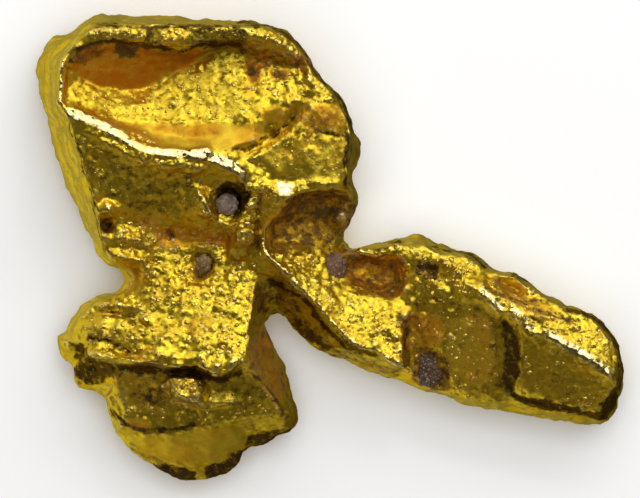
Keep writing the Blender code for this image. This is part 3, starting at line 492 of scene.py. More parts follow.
FOOT_TOP = {
    "north_edge": [
        (136, 279, 2.75), (131, 288, 2.68), (118, 295, 2.68), (104, 301, 2.68), (90, 309, 2.56),
        (80, 318, 2.44), (74, 328, 2.3),
    ],
    "east_edge": [
        (258, 272, 3.12), (256, 286, 3.18), (254, 300, 3.3), (252, 315, 3.44), (249, 330, 3.6),
        (247, 346, 3.8), (244, 360, 3.98),
    ],
    "neck": [(150, 262, 2.9), (172, 262, 2.94)],
    "neck_pit_rim": [
        (190, 258, 2.92), (197, 250, 2.9), (207, 249, 2.95), (217, 256, 3.02), (217, 270, 3.0),
        (208, 279, 2.98), (196, 276, 2.94), (190, 267, 2.92), (190, 258, 2.92),
    ],
    "neck_east": [(228, 262, 3.04), (242, 262, 3.08)],
    "neck_south": [(150, 285, 3.06), (180, 288, 3.24), (210, 292, 3.34), (236, 294, 3.38)],
    "foot_face": [(120, 305, 2.97), (150, 312, 3.3), (185, 315, 3.5), (222, 318, 3.62)],
    "foot_face_south": [(140, 334, 3.5), (165, 338, 3.7), (195, 338, 3.8), (225, 340, 3.86)],
    "ledge_1_top": [(86, 336, 3.0), (100, 337, 3.18), (114, 339, 3.3), (127, 345, 3.42), (140, 349, 3.54)],
    "ledge_1_foot": [(84, 343, 2.84), (99, 343, 3.04), (113, 347, 3.16), (125, 352, 3.3), (138, 355, 3.5)],
    "ledge_0_top": [(103, 305, 2.86), (114, 310, 2.96), (128, 309, 3.02)],
    "ledge_0_foot": [(104, 311, 2.76), (116, 316, 2.86), (130, 315, 2.94)],
    "west_lobe": [(82, 326, 2.74), (98, 322, 2.98), (114, 324, 3.14)],
    "south_crest": [
        (244, 360, 3.98), (235, 366, 4.0), (222, 373, 3.96), (212, 371, 4.0), (200, 363, 4.0),
        (183, 364, 3.95), (165, 366, 3.95), (150, 361, 3.92), (138, 362, 3.86), (127, 359, 3.76),
        (112, 358, 3.54), (98, 356, 3.36), (88, 353, 3.12),
    ],
    "crest_clump_foot": [(196, 351, 3.85), (212, 349, 3.88), (228, 349, 3.9), (238, 349, 3.9)],
    "crest_clumps": [
        (238, 359, 4.03), (232, 361, 4.06), (224, 365, 4.0), (217, 363, 4.06), (210, 365, 4.01),
        (203, 359, 4.02),
    ],
    "scarp_foot": [
        (88, 361, 2.5), (110, 365, 2.84), (130, 371, 2.98), (150, 371, 3.04), (170, 374, 3.08),
        (190, 374, 3.1), (210, 381, 3.1), (225, 382, 3.1), (240, 375, 3.16), (252, 373, 3.3),
    ],
    "south_ledge": [(118, 380, 2.84), (135, 388, 2.7), (158, 389, 2.76), (170, 392, 2.84)],
    "south_ledge_east": [(212, 391, 2.96), (226, 392, 2.98), (240, 392, 3.0)],
    "south_knob_north": [(171, 377, 3.5), (182, 376, 3.58), (195, 378, 3.58), (207, 386, 3.34)],
    "south_knob": [(176, 392, 3.68), (187, 397, 3.8), (198, 400, 3.72), (205, 402, 3.4)],
    "south_knob_foot": [(174, 399, 2.76), (186, 404, 2.78), (198, 408, 2.8)],
    "south_clumps": [(208, 401, 3.06), (220, 403, 3.09), (233, 402, 3.08)],
    "south_ledge_low": [
        (124, 405, 2.6), (150, 402, 2.54), (178, 410, 2.7), (210, 410, 2.83), (245, 406, 2.86),
    ],
    "south_lip": [
        (108, 398, 2.2), (114, 412, 2.3), (121, 424, 2.36), (145, 432, 2.4), (170, 431, 2.5),
        (190, 428, 2.64), (210, 425, 2.76), (228, 419, 2.8), (250, 415, 2.78), (272, 412, 2.7),
    ],
    "base_facet_low": [
        (129, 440, 1.62), (148, 453, 1.52), (168, 463, 1.48), (190, 468, 1.46), (212, 465, 1.48),
        (228, 457, 1.52), (240, 446, 1.6),
    ],
    "east_corner_edge": [
        (244, 360, 3.98), (254, 372, 3.5), (265, 385, 3.14), (275, 399, 2.86), (284, 413, 2.6),
    ],
    "heel_knob": [(256, 424, 2.1), (268, 420, 2.42), (284, 420, 2.42), (291, 416, 2.2)],
    "heel_knob_low": [(252, 437, 1.6), (266, 435, 1.72), (282, 429, 1.8)],
    "toe_1": [(62, 341, 1.85), (73, 341, 2.3), (84, 345, 2.66)],
    "toe_1_low": [(66, 352, 1.75), (78, 355, 1.95)],
    "toe_2": [(77, 366, 1.7), (90, 368, 1.95), (104, 374, 2.25)],
    "toe_2_low": [(79, 381, 1.5), (96, 384, 1.7)],
}

# ---------------------------------------------------------------------------------------------
# Lines over the underside. The worn flats dip below the table and are cut there.
# ---------------------------------------------------------------------------------------------
UNDERSIDE = {
    "head_flat": [
        (84, 92, -0.1), (112, 50, -0.1), (170, 44, -0.12), (240, 52, -0.1), (296, 92, -0.08),
        (322, 140, -0.1), (318, 178, -0.08), (262, 196, -0.1), (190, 204, -0.12), (128, 208, -0.1),
        (100, 160, -0.12), (84, 92, -0.1),
    ],
    "head_hollow": [(128, 96, 0.34), (170, 78, 0.42), (222, 96, 0.46), (206, 140, 0.4), (150, 150, 0.36)],
    "head_step": [(262, 100, 0.12), (286, 136, 0.18), (262, 168, 0.12)],
    "neck_under": [(150, 250, 0.42), (190, 262, 0.5), (236, 262, 0.5), (280, 250, 0.46), (318, 228, 0.4)],
    "foot_flat": [
        (122, 340, -0.08), (170, 318, -0.1), (226, 330, -0.1), (256, 372, -0.08), (258, 414, -0.08),
        (214, 444, -0.1), (164, 440, -0.1), (130, 400, -0.08), (122, 340, -0.08),
    ],
    "foot_hollow": [(170, 362, 0.22), (204, 372, 0.3), (198, 404, 0.26)],
    "arm_under": [(306, 292, 0.5), (340, 312, 0.44), (376, 326, 0.34)],
    "arm_flat": [
        (424, 286, -0.06), (468, 290, -0.1), (526, 320, -0.1), (580, 352, -0.08), (592, 388, -0.06),
        (540, 388, -0.1), (478, 376, -0.1), (424, 350, -0.06), (424, 286, -0.06),
    ],
    "arm_hollow": [(470, 322, 0.26), (510, 346, 0.32), (540, 362, 0.24)],
    "toes_under": [(84, 352, 0.7), (92, 372, 0.6)],
}

# ---------------------------------------------------------------------------------------------
# Relief. Lines and spots are plan points; heights are millimetres and widths are plan units.
# ---------------------------------------------------------------------------------------------
# name: (height, half width, beading, points)
CRESTS = {
    "rim_crest_west": (0.05, 4.0, 0.6, [(92, 36), (104, 34), (118, 34), (132, 36), (146, 38)]),
    "rim_crest_east": (0.05, 4.0, 0.6, [(256, 36), (266, 38), (276, 42), (288, 49), (297, 57)]),
    "west_rim_crest": (0.07, 3.0, 0.3, [(66, 66), (65, 80), (63, 92), (62, 103)]),
    "arc_crest": (0.06, 3.0, 0.5, [(190, 183), (198, 192), (205, 203), (210, 213)]),
    "arc_tail": (0.05, 3.0, 0.4, [(190, 250), (200, 246), (212, 245), (224, 249)]),
    "cavern_crest": (0.07, 2.4, 0.4, [
        (278, 200), (273, 208), (267, 217), (264, 226), (263, 245), (268, 256), (280, 266), (290, 275),
        (296, 284),
    ]),
    "column_step_1": (0.07, 2.6, 0.8, [(247, 190), (252, 187), (258, 189), (265, 192)]),
    "column_step_2": (0.07, 2.4, 0.8, [(254, 199), (259, 196), (264, 199), (268, 198)]),
    "column_step_3": (0.08, 2.6, 0.8, [(248, 207), (254, 205), (260, 207), (264, 211)]),
    "column_step_4": (0.07, 2.4, 0.8, [(243, 216), (248, 214), (254, 216), (260, 219)]),
    "column_step_5": (0.07, 2.6, 0.8, [(238, 225), (244, 223), (250, 225), (255, 227)]),
    "column_step_6": (0.07, 2.4, 0.8, [(240, 234), (245, 232), (250, 233), (256, 237)]),
    "neck_step_1": (0.08, 2.8, 0.8, [(236, 256), (243, 254), (250, 257), (258, 260)]),
    "neck_step_2": (0.08, 2.8, 0.8, [(240, 266), (248, 264), (255, 267), (262, 272)]),
    "arm_root_crest": (0.05, 3.0, 0.5, [
        (296, 284), (305, 292), (319, 305), (331, 321), (345, 336), (360, 347), (378, 351), (402, 365),
    ]),
    "tooth_crest": (0.06, 3.4, 0.3, [
        (350, 343), (362, 341), (371, 333), (383, 326), (390, 331), (397, 338), (400, 352),
    ]),
    "tip_crest": (0.06, 3.0, 0.3, [(607, 374), (614, 382), (607, 392)]),
    "inner_ridge": (0.05, 2.6, 0.4, [(540, 316), (555, 319), (566, 324), (576, 328)]),
    "recess_wall": (0.06, 3.0, 0.5, [(403, 262), (408, 275), (405, 290), (410, 302)]),
    "recess_lip": (0.06, 2.4, 0.3, [(360, 251), (367, 255), (375, 257), (382, 253)]),
    "hopper_step_1": (0.025, 2.0, 0.2, [(76, 60), (100, 57), (125, 62), (150, 61), (180, 60)]),
    "hopper_step_2": (0.025, 2.0, 0.2, [(84, 70), (105, 72), (130, 73), (152, 70), (170, 66)]),
    "rim_corner_ridge": (0.06, 2.4, 0.2, [(184, 52), (193, 46), (203, 41)]),
    "lobe_ridge": (0.05, 2.6, 0.3, [(283, 115), (290, 107), (298, 100)]),
    "block_ridge": (0.05, 2.0, 0.3, [(308, 103), (314, 110), (320, 116), (325, 125)]),
    "foot_fold_1": (0.05, 3.0, 0.4, [(96, 320), (112, 318), (128, 322), (138, 318), (150, 320)]),
    "foot_fold_2": (0.04, 3.0, 0.4, [(150, 350), (170, 357), (190, 358), (205, 355), (216, 347)]),
    "foot_fold_3": (0.04, 3.0, 0.5, [(112, 352), (122, 346), (133, 350)]),
    "foot_ridge_1": (0.06, 3.0, 0.5, [(124, 388), (125, 400), (128, 414), (121, 428)]),
    "foot_ridge_2": (0.06, 3.0, 0.5, [(146, 370), (151, 378), (160, 386), (168, 384)]),
    "foot_lip_crest": (0.04, 2.4, 0.4, [(228, 420), (245, 415), (272, 413)]),
    "east_block_crest": (0.05, 3.4, 0.6, [(292, 187), (308, 184), (322, 183), (338, 184)]),
    "brown_lip": (0.05, 2.4, 0.4, [(466, 388), (476, 389), (488, 395), (496, 399)]),
    "valley_band": (0.03, 2.6, 0.3, [(482, 287), (498, 289), (510, 294), (520, 300)]),
}

# name: (depth, half width, dirt and painted shade, points)
CREASES = {
    "rim_outer": (0.03, 2.0, 0.85, [(98, 27), (125, 27), (150, 28), (180, 28), (215, 28), (240, 29)]),
    "rim_outer_east": (0.03, 3.0, 1.0, [(240, 23), (262, 25), (282, 32), (297, 43), (307, 57), (311, 66)]),
    "east_outline": (0.02, 2.6, 0.95, [
        (311, 66), (318, 76), (329, 88), (341, 101), (350, 118), (355, 134),
    ]),
    "rim_inner": (0.04, 2.6, 0.9, [
        (70, 62), (80, 52), (92, 46), (110, 44), (130, 44), (145, 47), (165, 49), (182, 50), (200, 46),
        (222, 44), (240, 46),
    ]),
    "skin_line": (0.02, 1.6, 0.8, [
        (70, 118), (75, 138), (83, 163), (92, 193), (97, 213), (101, 234), (107, 249),
    ]),
    "block_groove": (0.04, 2.8, 0.7, [(235, 149), (252, 146), (272, 137), (285, 126), (299, 113)]),
    "block_arc": (0.03, 2.6, 0.8, [(312, 127), (322, 134), (335, 136), (346, 131)]),
    "block_east": (0.04, 2.8, 0.8, [(346, 128), (347, 150), (346, 170), (346, 188)]),
    "column_groove": (0.05, 2.2, 0.65, [(261, 196), (258, 210), (257, 228), (258, 250)]),
    "lip_shadow": (0.04, 2.6, 0.8, [(288, 201), (300, 196), (318, 194), (334, 192)]),
    "neck_arc": (0.05, 2.4, 0.75, [(212, 312), (228, 315), (243, 322)]),
    "foot_arc": (0.05, 2.4, 0.7, [(112, 312), (122, 316), (134, 314), (146, 326)]),
    "ledge_line": (0.05, 2.0, 0.85, [(90, 338), (98, 338), (110, 341), (122, 346), (130, 352)]),
    "scarp": (0.04, 4.0, 0.9, [
        (92, 360), (112, 365), (132, 369), (150, 368), (168, 372), (190, 371), (208, 378), (224, 380),
        (240, 370),
    ]),
    "lip_line": (0.04, 3.0, 0.85, [(112, 410), (124, 424), (146, 430), (172, 430), (192, 426)]),
    "foot_east": (0.03, 2.6, 0.7, [(250, 366), (262, 382), (275, 399), (284, 412)]),
    "arm_wall": (0.04, 3.6, 0.95, [
        (270, 280), (284, 287), (300, 297), (312, 307), (322, 323), (333, 335), (345, 345), (360, 352),
        (376, 354),
    ]),
    # Painted shade only: no depth, just a dark band on the arm's south wall.
    "arm_wall_low": (0.0, 6.0, 0.9, [(296, 324), (310, 334), (326, 345)]),
    "arm_north_line": (0.02, 2.0, 0.9, [(432, 247), (446, 250), (462, 252), (474, 257), (486, 268)]),
    "arm_north_line_2": (0.02, 1.8, 0.85, [(512, 273), (530, 284), (546, 293)]),
    "arm_north_line_3": (0.03, 2.8, 0.95, [(566, 310), (580, 312), (593, 316), (604, 326)]),
    "tip_line": (0.03, 2.8, 1.0, [(604, 326), (613, 338), (619, 352), (621, 370), (619, 388)]),
    "recess_line": (0.03, 2.4, 0.8, [(384, 241), (392, 243), (402, 243)]),
    "drop": (0.05, 3.2, 0.85, [(398, 315), (403, 322), (406, 335), (405, 348)]),
    "valley_line": (0.05, 3.6, 0.9, [(503, 322), (512, 334), (516, 350), (514, 370), (508, 388)]),
    "south_groove": (0.06, 3.8, 1.0, [
        (508, 389), (519, 399), (535, 403), (556, 407), (580, 412), (598, 416),
    ]),
    "pocket_line": (0.04, 2.2, 0.7, [
        (480, 287), (496, 291), (508, 297), (520, 302), (534, 301), (546, 302),
    ]),
    "inner_line": (0.04, 2.2, 0.75, [(524, 304), (536, 310), (548, 313), (562, 316), (576, 322)]),
    "inner_line_2": (0.03, 2.0, 0.7, [(530, 318), (545, 326), (556, 329), (566, 332)]),
}

# (east, south, radius, rise): a lump where the rise is positive, and a pit where it is negative
SPOTS = [
    # head, along the rim
    (95, 37, 4, 0.05), (101, 33, 3, 0.04), (106, 37, 4, 0.05), (111, 32, 4, 0.05), (117, 36, 4, 0.05),
    (122, 32, 3, 0.04), (126, 37, 3, 0.04), (131, 33, 3, 0.04), (137, 37, 3, 0.04), (143, 34, 3, 0.04),
    (164, 35, 5, 0.08), (171, 31, 5, 0.08), (173, 40, 5, 0.08), (180, 34, 5, 0.08), (165, 44, 4, 0.06),
    (183, 41, 4, 0.06), (186, 28, 3, 0.04), (163, 38, 3, 0.04), (156, 43, 3, 0.04), (212, 34, 3, 0.04),
    (225, 34, 4, 0.05), (238, 34, 3, 0.04), (231, 30, 3, 0.04), (235, 37, 3, 0.04), (258, 36, 3, 0.05),
    (267, 37, 4, 0.06), (278, 42, 4, 0.06), (285, 46, 3, 0.05), (291, 50, 4, 0.06), (297, 55, 4, 0.05),
    (300, 58, 3, 0.04), (253, 32, 3, 0.04), (259, 49, 6, 0.06), (273, 52, 4, 0.05), (285, 54, 4, 0.05),
    # hopper and bright face
    (127, 52, 7, -0.14), (96, 54, 5, -0.05), (251, 71, 8, -0.12), (266, 61, 6, -0.1), (280, 75, 7, -0.08),
    (303, 62, 6, -0.08), (203, 68, 4, -0.05), (162, 79, 5, 0.06), (150, 88, 4, -0.05), (242, 66, 5, 0.05),
    (263, 72, 5, 0.06), (275, 70, 5, 0.05), (190, 96, 6, 0.04), (174, 103, 5, 0.04), (140, 112, 6, -0.04),
    (206, 108, 6, -0.03), (225, 78, 6, 0.04), (240, 116, 8, 0.04), (308, 79, 6, 0.07), (303, 93, 7, 0.06),
    (322, 87, 4, 0.05), (330, 99, 6, 0.06), (318, 98, 4, -0.05), (268, 92, 5, -0.04), (292, 90, 5, 0.05),
    # crown ridge
    (76, 115, 4, 0.04), (134, 134, 4, 0.04), (142, 138, 4, 0.04), (150, 141, 4, 0.04), (146, 133, 3, 0.04),
    (156, 144, 3, 0.04), (101, 133, 3, 0.04), (107, 136, 3, 0.04), (122, 142, 3, 0.04), (133, 149, 3, 0.04),
    (157, 161, 3, 0.04), (163, 162, 3, 0.04), (176, 162, 3, 0.05), (182, 163, 5, 0.07), (190, 164, 3, 0.04),
    (197, 166, 3, 0.04), (213, 157, 3, -0.07), (209, 152, 6, 0.04), (300, 185, 5, 0.05),
    # dark face
    (108, 207, 7, 0.08), (112, 195, 6, 0.04), (109, 226, 8, -0.22), (123, 222, 4, 0.05),
    (131, 224, 4, 0.05), (125, 232, 4, 0.05), (139, 230, 4, 0.05), (138, 238, 4, 0.05), (149, 236, 4, 0.05),
    (150, 244, 4, 0.05), (138, 246, 4, 0.05), (131, 250, 3, 0.04), (106, 237, 3, 0.04), (117, 237, 3, 0.04),
    (144, 232, 3, 0.04), (128, 241, 3, 0.04), (122, 246, 3, 0.04), (170, 235, 6, -0.16),
    (201, 226, 4, 0.05), (204, 230, 3, 0.04), (190, 188, 4, 0.05), (214, 233, 5, 0.06), (222, 222, 4, 0.05),
    (163, 246, 4, 0.05), (174, 250, 4, 0.05),
    # middle
    (243, 220, 5, 0.05), (239, 230, 5, 0.05), (246, 234, 4, 0.05), (250, 203, 5, 0.07), (267, 205, 5, 0.05),
    (257, 190, 4, 0.07), (249, 185, 4, 0.06), (259, 201, 4, 0.06), (265, 196, 4, 0.06), (242, 226, 4, 0.06),
    (250, 232, 4, 0.06), (243, 240, 4, 0.06), (262, 214, 3, 0.05), (270, 190, 4, 0.05), (254, 180, 4, 0.05),
    (262, 182, 4, 0.05), (340, 218, 10, 0.1), (321, 221, 5, -0.07), (305, 225, 2, 0.03),
    (295, 247, 3, 0.04), (338, 230, 3, 0.04), (335, 242, 3, 0.04), (331, 248, 3, 0.04), (283, 254, 5, 0.06),
    (311, 255, 5, 0.05), (297, 258, 5, 0.05), (290, 265, 4, 0.05), (304, 268, 4, 0.05), (318, 262, 4, 0.05),
    (233, 190, 6, -0.06),
    # neck
    (175, 260, 5, 0.06), (184, 255, 3, 0.05), (152, 274, 4, 0.05), (172, 274, 5, 0.05), (185, 287, 5, 0.05),
    (156, 285, 3, 0.04), (144, 292, 3, 0.04), (153, 298, 3, 0.04), (161, 298, 3, 0.04), (174, 296, 3, 0.04),
    (219, 260, 4, 0.05), (234, 263, 4, 0.05), (239, 268, 3, 0.04), (244, 263, 4, 0.05), (253, 265, 4, 0.05),
    (229, 277, 5, 0.06), (240, 275, 4, 0.05), (207, 297, 5, 0.06), (221, 291, 5, 0.06), (238, 302, 3, 0.04),
    (254, 305, 3, 0.04), (253, 290, 3, 0.04), (201, 274, 6, -0.08), (138, 276, 6, -0.05),
    (160, 262, 4, 0.04),
    # foot top
    (229, 326, 9, 0.08), (200, 325, 3, 0.05), (202, 347, 10, 0.06), (108, 304, 5, 0.06),
    (120, 305, 6, 0.06), (134, 320, 6, 0.07), (147, 319, 4, 0.05), (144, 335, 4, 0.05), (100, 328, 9, 0.06),
    (116, 329, 7, 0.05), (97, 353, 4, 0.05), (105, 350, 3, 0.04), (112, 354, 3, 0.04), (126, 353, 4, 0.05),
    (134, 352, 3, 0.04), (146, 356, 3, 0.04), (158, 360, 5, 0.04), (170, 300, 7, 0.04), (186, 312, 7, 0.05),
    (165, 320, 6, 0.04), (180, 332, 7, 0.05), (160, 340, 6, 0.05), (232, 348, 6, 0.05),
    (190, 336, 5, -0.04), (148, 344, 5, -0.04),
    # foot, crest and south side
    (204, 366, 6, 0.07), (217, 366, 6, 0.07), (216, 374, 4, 0.05), (233, 365, 6, 0.07), (178, 364, 6, 0.06),
    (240, 360, 4, 0.05), (225, 371, 4, 0.05), (184, 385, 4, 0.05), (192, 390, 4, 0.05), (189, 384, 3, 0.04),
    (195, 394, 3, 0.04), (211, 399, 4, 0.05), (205, 406, 4, 0.05), (214, 405, 4, 0.05), (222, 406, 4, 0.06),
    (230, 404, 4, 0.05), (207, 413, 4, 0.05), (199, 402, 3, 0.04), (95, 370, 4, 0.05), (152, 408, 4, 0.05),
    (173, 401, 3, 0.05), (164, 414, 4, 0.05), (250, 398, 3, 0.04), (274, 399, 3, 0.04), (284, 426, 6, 0.05),
    (150, 396, 12, -0.1), (80, 350, 8, -0.12), (93, 366, 8, -0.12), (66, 346, 6, 0.05),
    (168, 467, 8, -0.07), (214, 468, 6, -0.06), (232, 456, 6, -0.06), (270, 437, 8, -0.06),
    (140, 376, 4, 0.05), (128, 372, 4, 0.05), (110, 392, 4, 0.04),
    # arm root and recess
    (331, 247, 3, 0.05), (346, 250, 3, 0.04), (383, 258, 3, 0.04), (397, 247, 4, 0.06), (404, 249, 3, 0.05),
    (411, 251, 4, 0.08), (417, 254, 4, 0.06), (400, 257, 4, 0.05), (408, 266, 3, 0.05), (369, 264, 3, 0.04),
    (391, 291, 3, 0.05), (401, 289, 3, 0.05), (403, 284, 4, 0.05), (407, 279, 3, 0.04), (325, 287, 3, 0.05),
    (315, 280, 5, 0.05), (318, 285, 3, 0.05), (314, 298, 4, 0.05), (320, 300, 4, 0.05), (338, 323, 3, 0.05),
    (343, 329, 5, 0.06), (346, 335, 3, 0.05), (362, 316, 3, 0.05), (353, 319, 5, 0.06), (376, 343, 5, 0.08),
    (396, 352, 4, 0.06), (398, 361, 5, 0.06), (391, 357, 3, 0.05), (381, 351, 5, -0.09),
    (366, 351, 4, -0.05), (373, 323, 5, -0.05), (333, 300, 6, 0.05), (350, 304, 5, 0.04),
    (385, 312, 5, 0.04),
    # arm, middle
    (432, 270, 9, -0.22), (418, 268, 5, -0.08), (427, 266, 4, 0.06), (432, 262, 4, 0.06),
    (437, 262, 3, 0.05), (423, 258, 4, 0.05), (445, 264, 4, 0.05), (452, 264, 3, 0.05), (446, 293, 5, 0.07),
    (440, 289, 4, 0.05), (459, 273, 5, 0.07), (455, 267, 4, 0.05), (463, 288, 4, 0.06), (465, 294, 3, 0.05),
    (451, 259, 4, 0.05), (467, 262, 3, 0.04), (472, 263, 4, 0.06), (418, 303, 3, 0.04), (426, 303, 3, 0.04),
    (440, 313, 4, 0.05), (447, 319, 3, 0.05), (424, 324, 5, 0.07), (419, 327, 3, 0.05), (436, 333, 3, 0.04),
    (449, 336, 4, 0.06), (454, 338, 3, 0.05), (412, 314, 3, 0.05), (412, 342, 4, 0.05), (407, 353, 4, 0.05),
    (432, 354, 3, 0.05), (408, 370, 4, 0.05), (424, 380, 4, 0.05), (434, 379, 3, 0.05), (439, 388, 3, 0.05),
    (417, 356, 3, 0.05), (467, 326, 5, 0.04), (485, 327, 4, 0.04), (458, 350, 3, 0.04), (455, 359, 4, 0.04),
    (488, 371, 3, 0.04), (456, 394, 4, 0.06), (467, 396, 4, 0.06), (463, 387, 4, 0.05),
    (447, 376, 5, -0.05), (448, 286, 4, -0.06), (470, 372, 4, -0.04), (433, 299, 6, -0.06),
    (450, 308, 6, -0.06), (423, 312, 5, -0.05),
    # arm, ridge and tip
    (482, 293, 4, 0.06), (488, 300, 4, 0.05), (497, 311, 4, 0.05), (513, 314, 3, 0.05), (519, 319, 4, 0.06),
    (527, 322, 4, 0.06), (530, 331, 4, 0.06), (535, 337, 3, 0.05), (546, 336, 4, 0.05), (562, 350, 3, 0.05),
    (579, 360, 4, 0.05), (510, 305, 4, 0.05), (503, 303, 4, 0.05), (497, 299, 4, 0.05), (528, 288, 3, 0.05),
    (533, 292, 4, 0.05), (553, 319, 3, 0.05), (561, 321, 3, 0.05), (568, 324, 3, 0.05), (575, 327, 3, 0.05),
    (581, 331, 3, 0.05), (599, 324, 3, 0.05), (596, 333, 3, 0.05), (599, 339, 4, 0.05), (604, 348, 4, 0.05),
    (612, 338, 3, 0.05), (614, 344, 3, 0.05), (616, 351, 3, 0.05), (606, 359, 3, 0.05), (527, 365, 4, 0.06),
    (529, 372, 3, 0.05), (525, 358, 3, 0.04), (556, 363, 3, 0.05), (550, 351, 3, 0.04), (598, 381, 3, 0.05),
    (608, 390, 3, 0.05), (585, 398, 3, 0.05), (578, 402, 3, 0.05), (588, 404, 4, 0.06), (582, 408, 4, 0.06),
    (593, 410, 4, 0.06), (601, 404, 3, 0.04), (560, 402, 3, 0.04), (614, 398, 7, -0.05),
    (540, 378, 7, 0.03),
]

# The faces that are both patches and broken.
BRIGHT_FACE = [
    (96, 96), (141, 92), (166, 84), (190, 72), (216, 60), (240, 62), (262, 80), (262, 106), (240, 118),
    (200, 122), (150, 120), (112, 114), (92, 106),
]
# The south-leaning face; the dirt on it is painted shade.
DARK_FACE = [
    (80, 130), (100, 142), (140, 163), (190, 172), (206, 190), (200, 214), (150, 216), (112, 200),
    (94, 190),
]
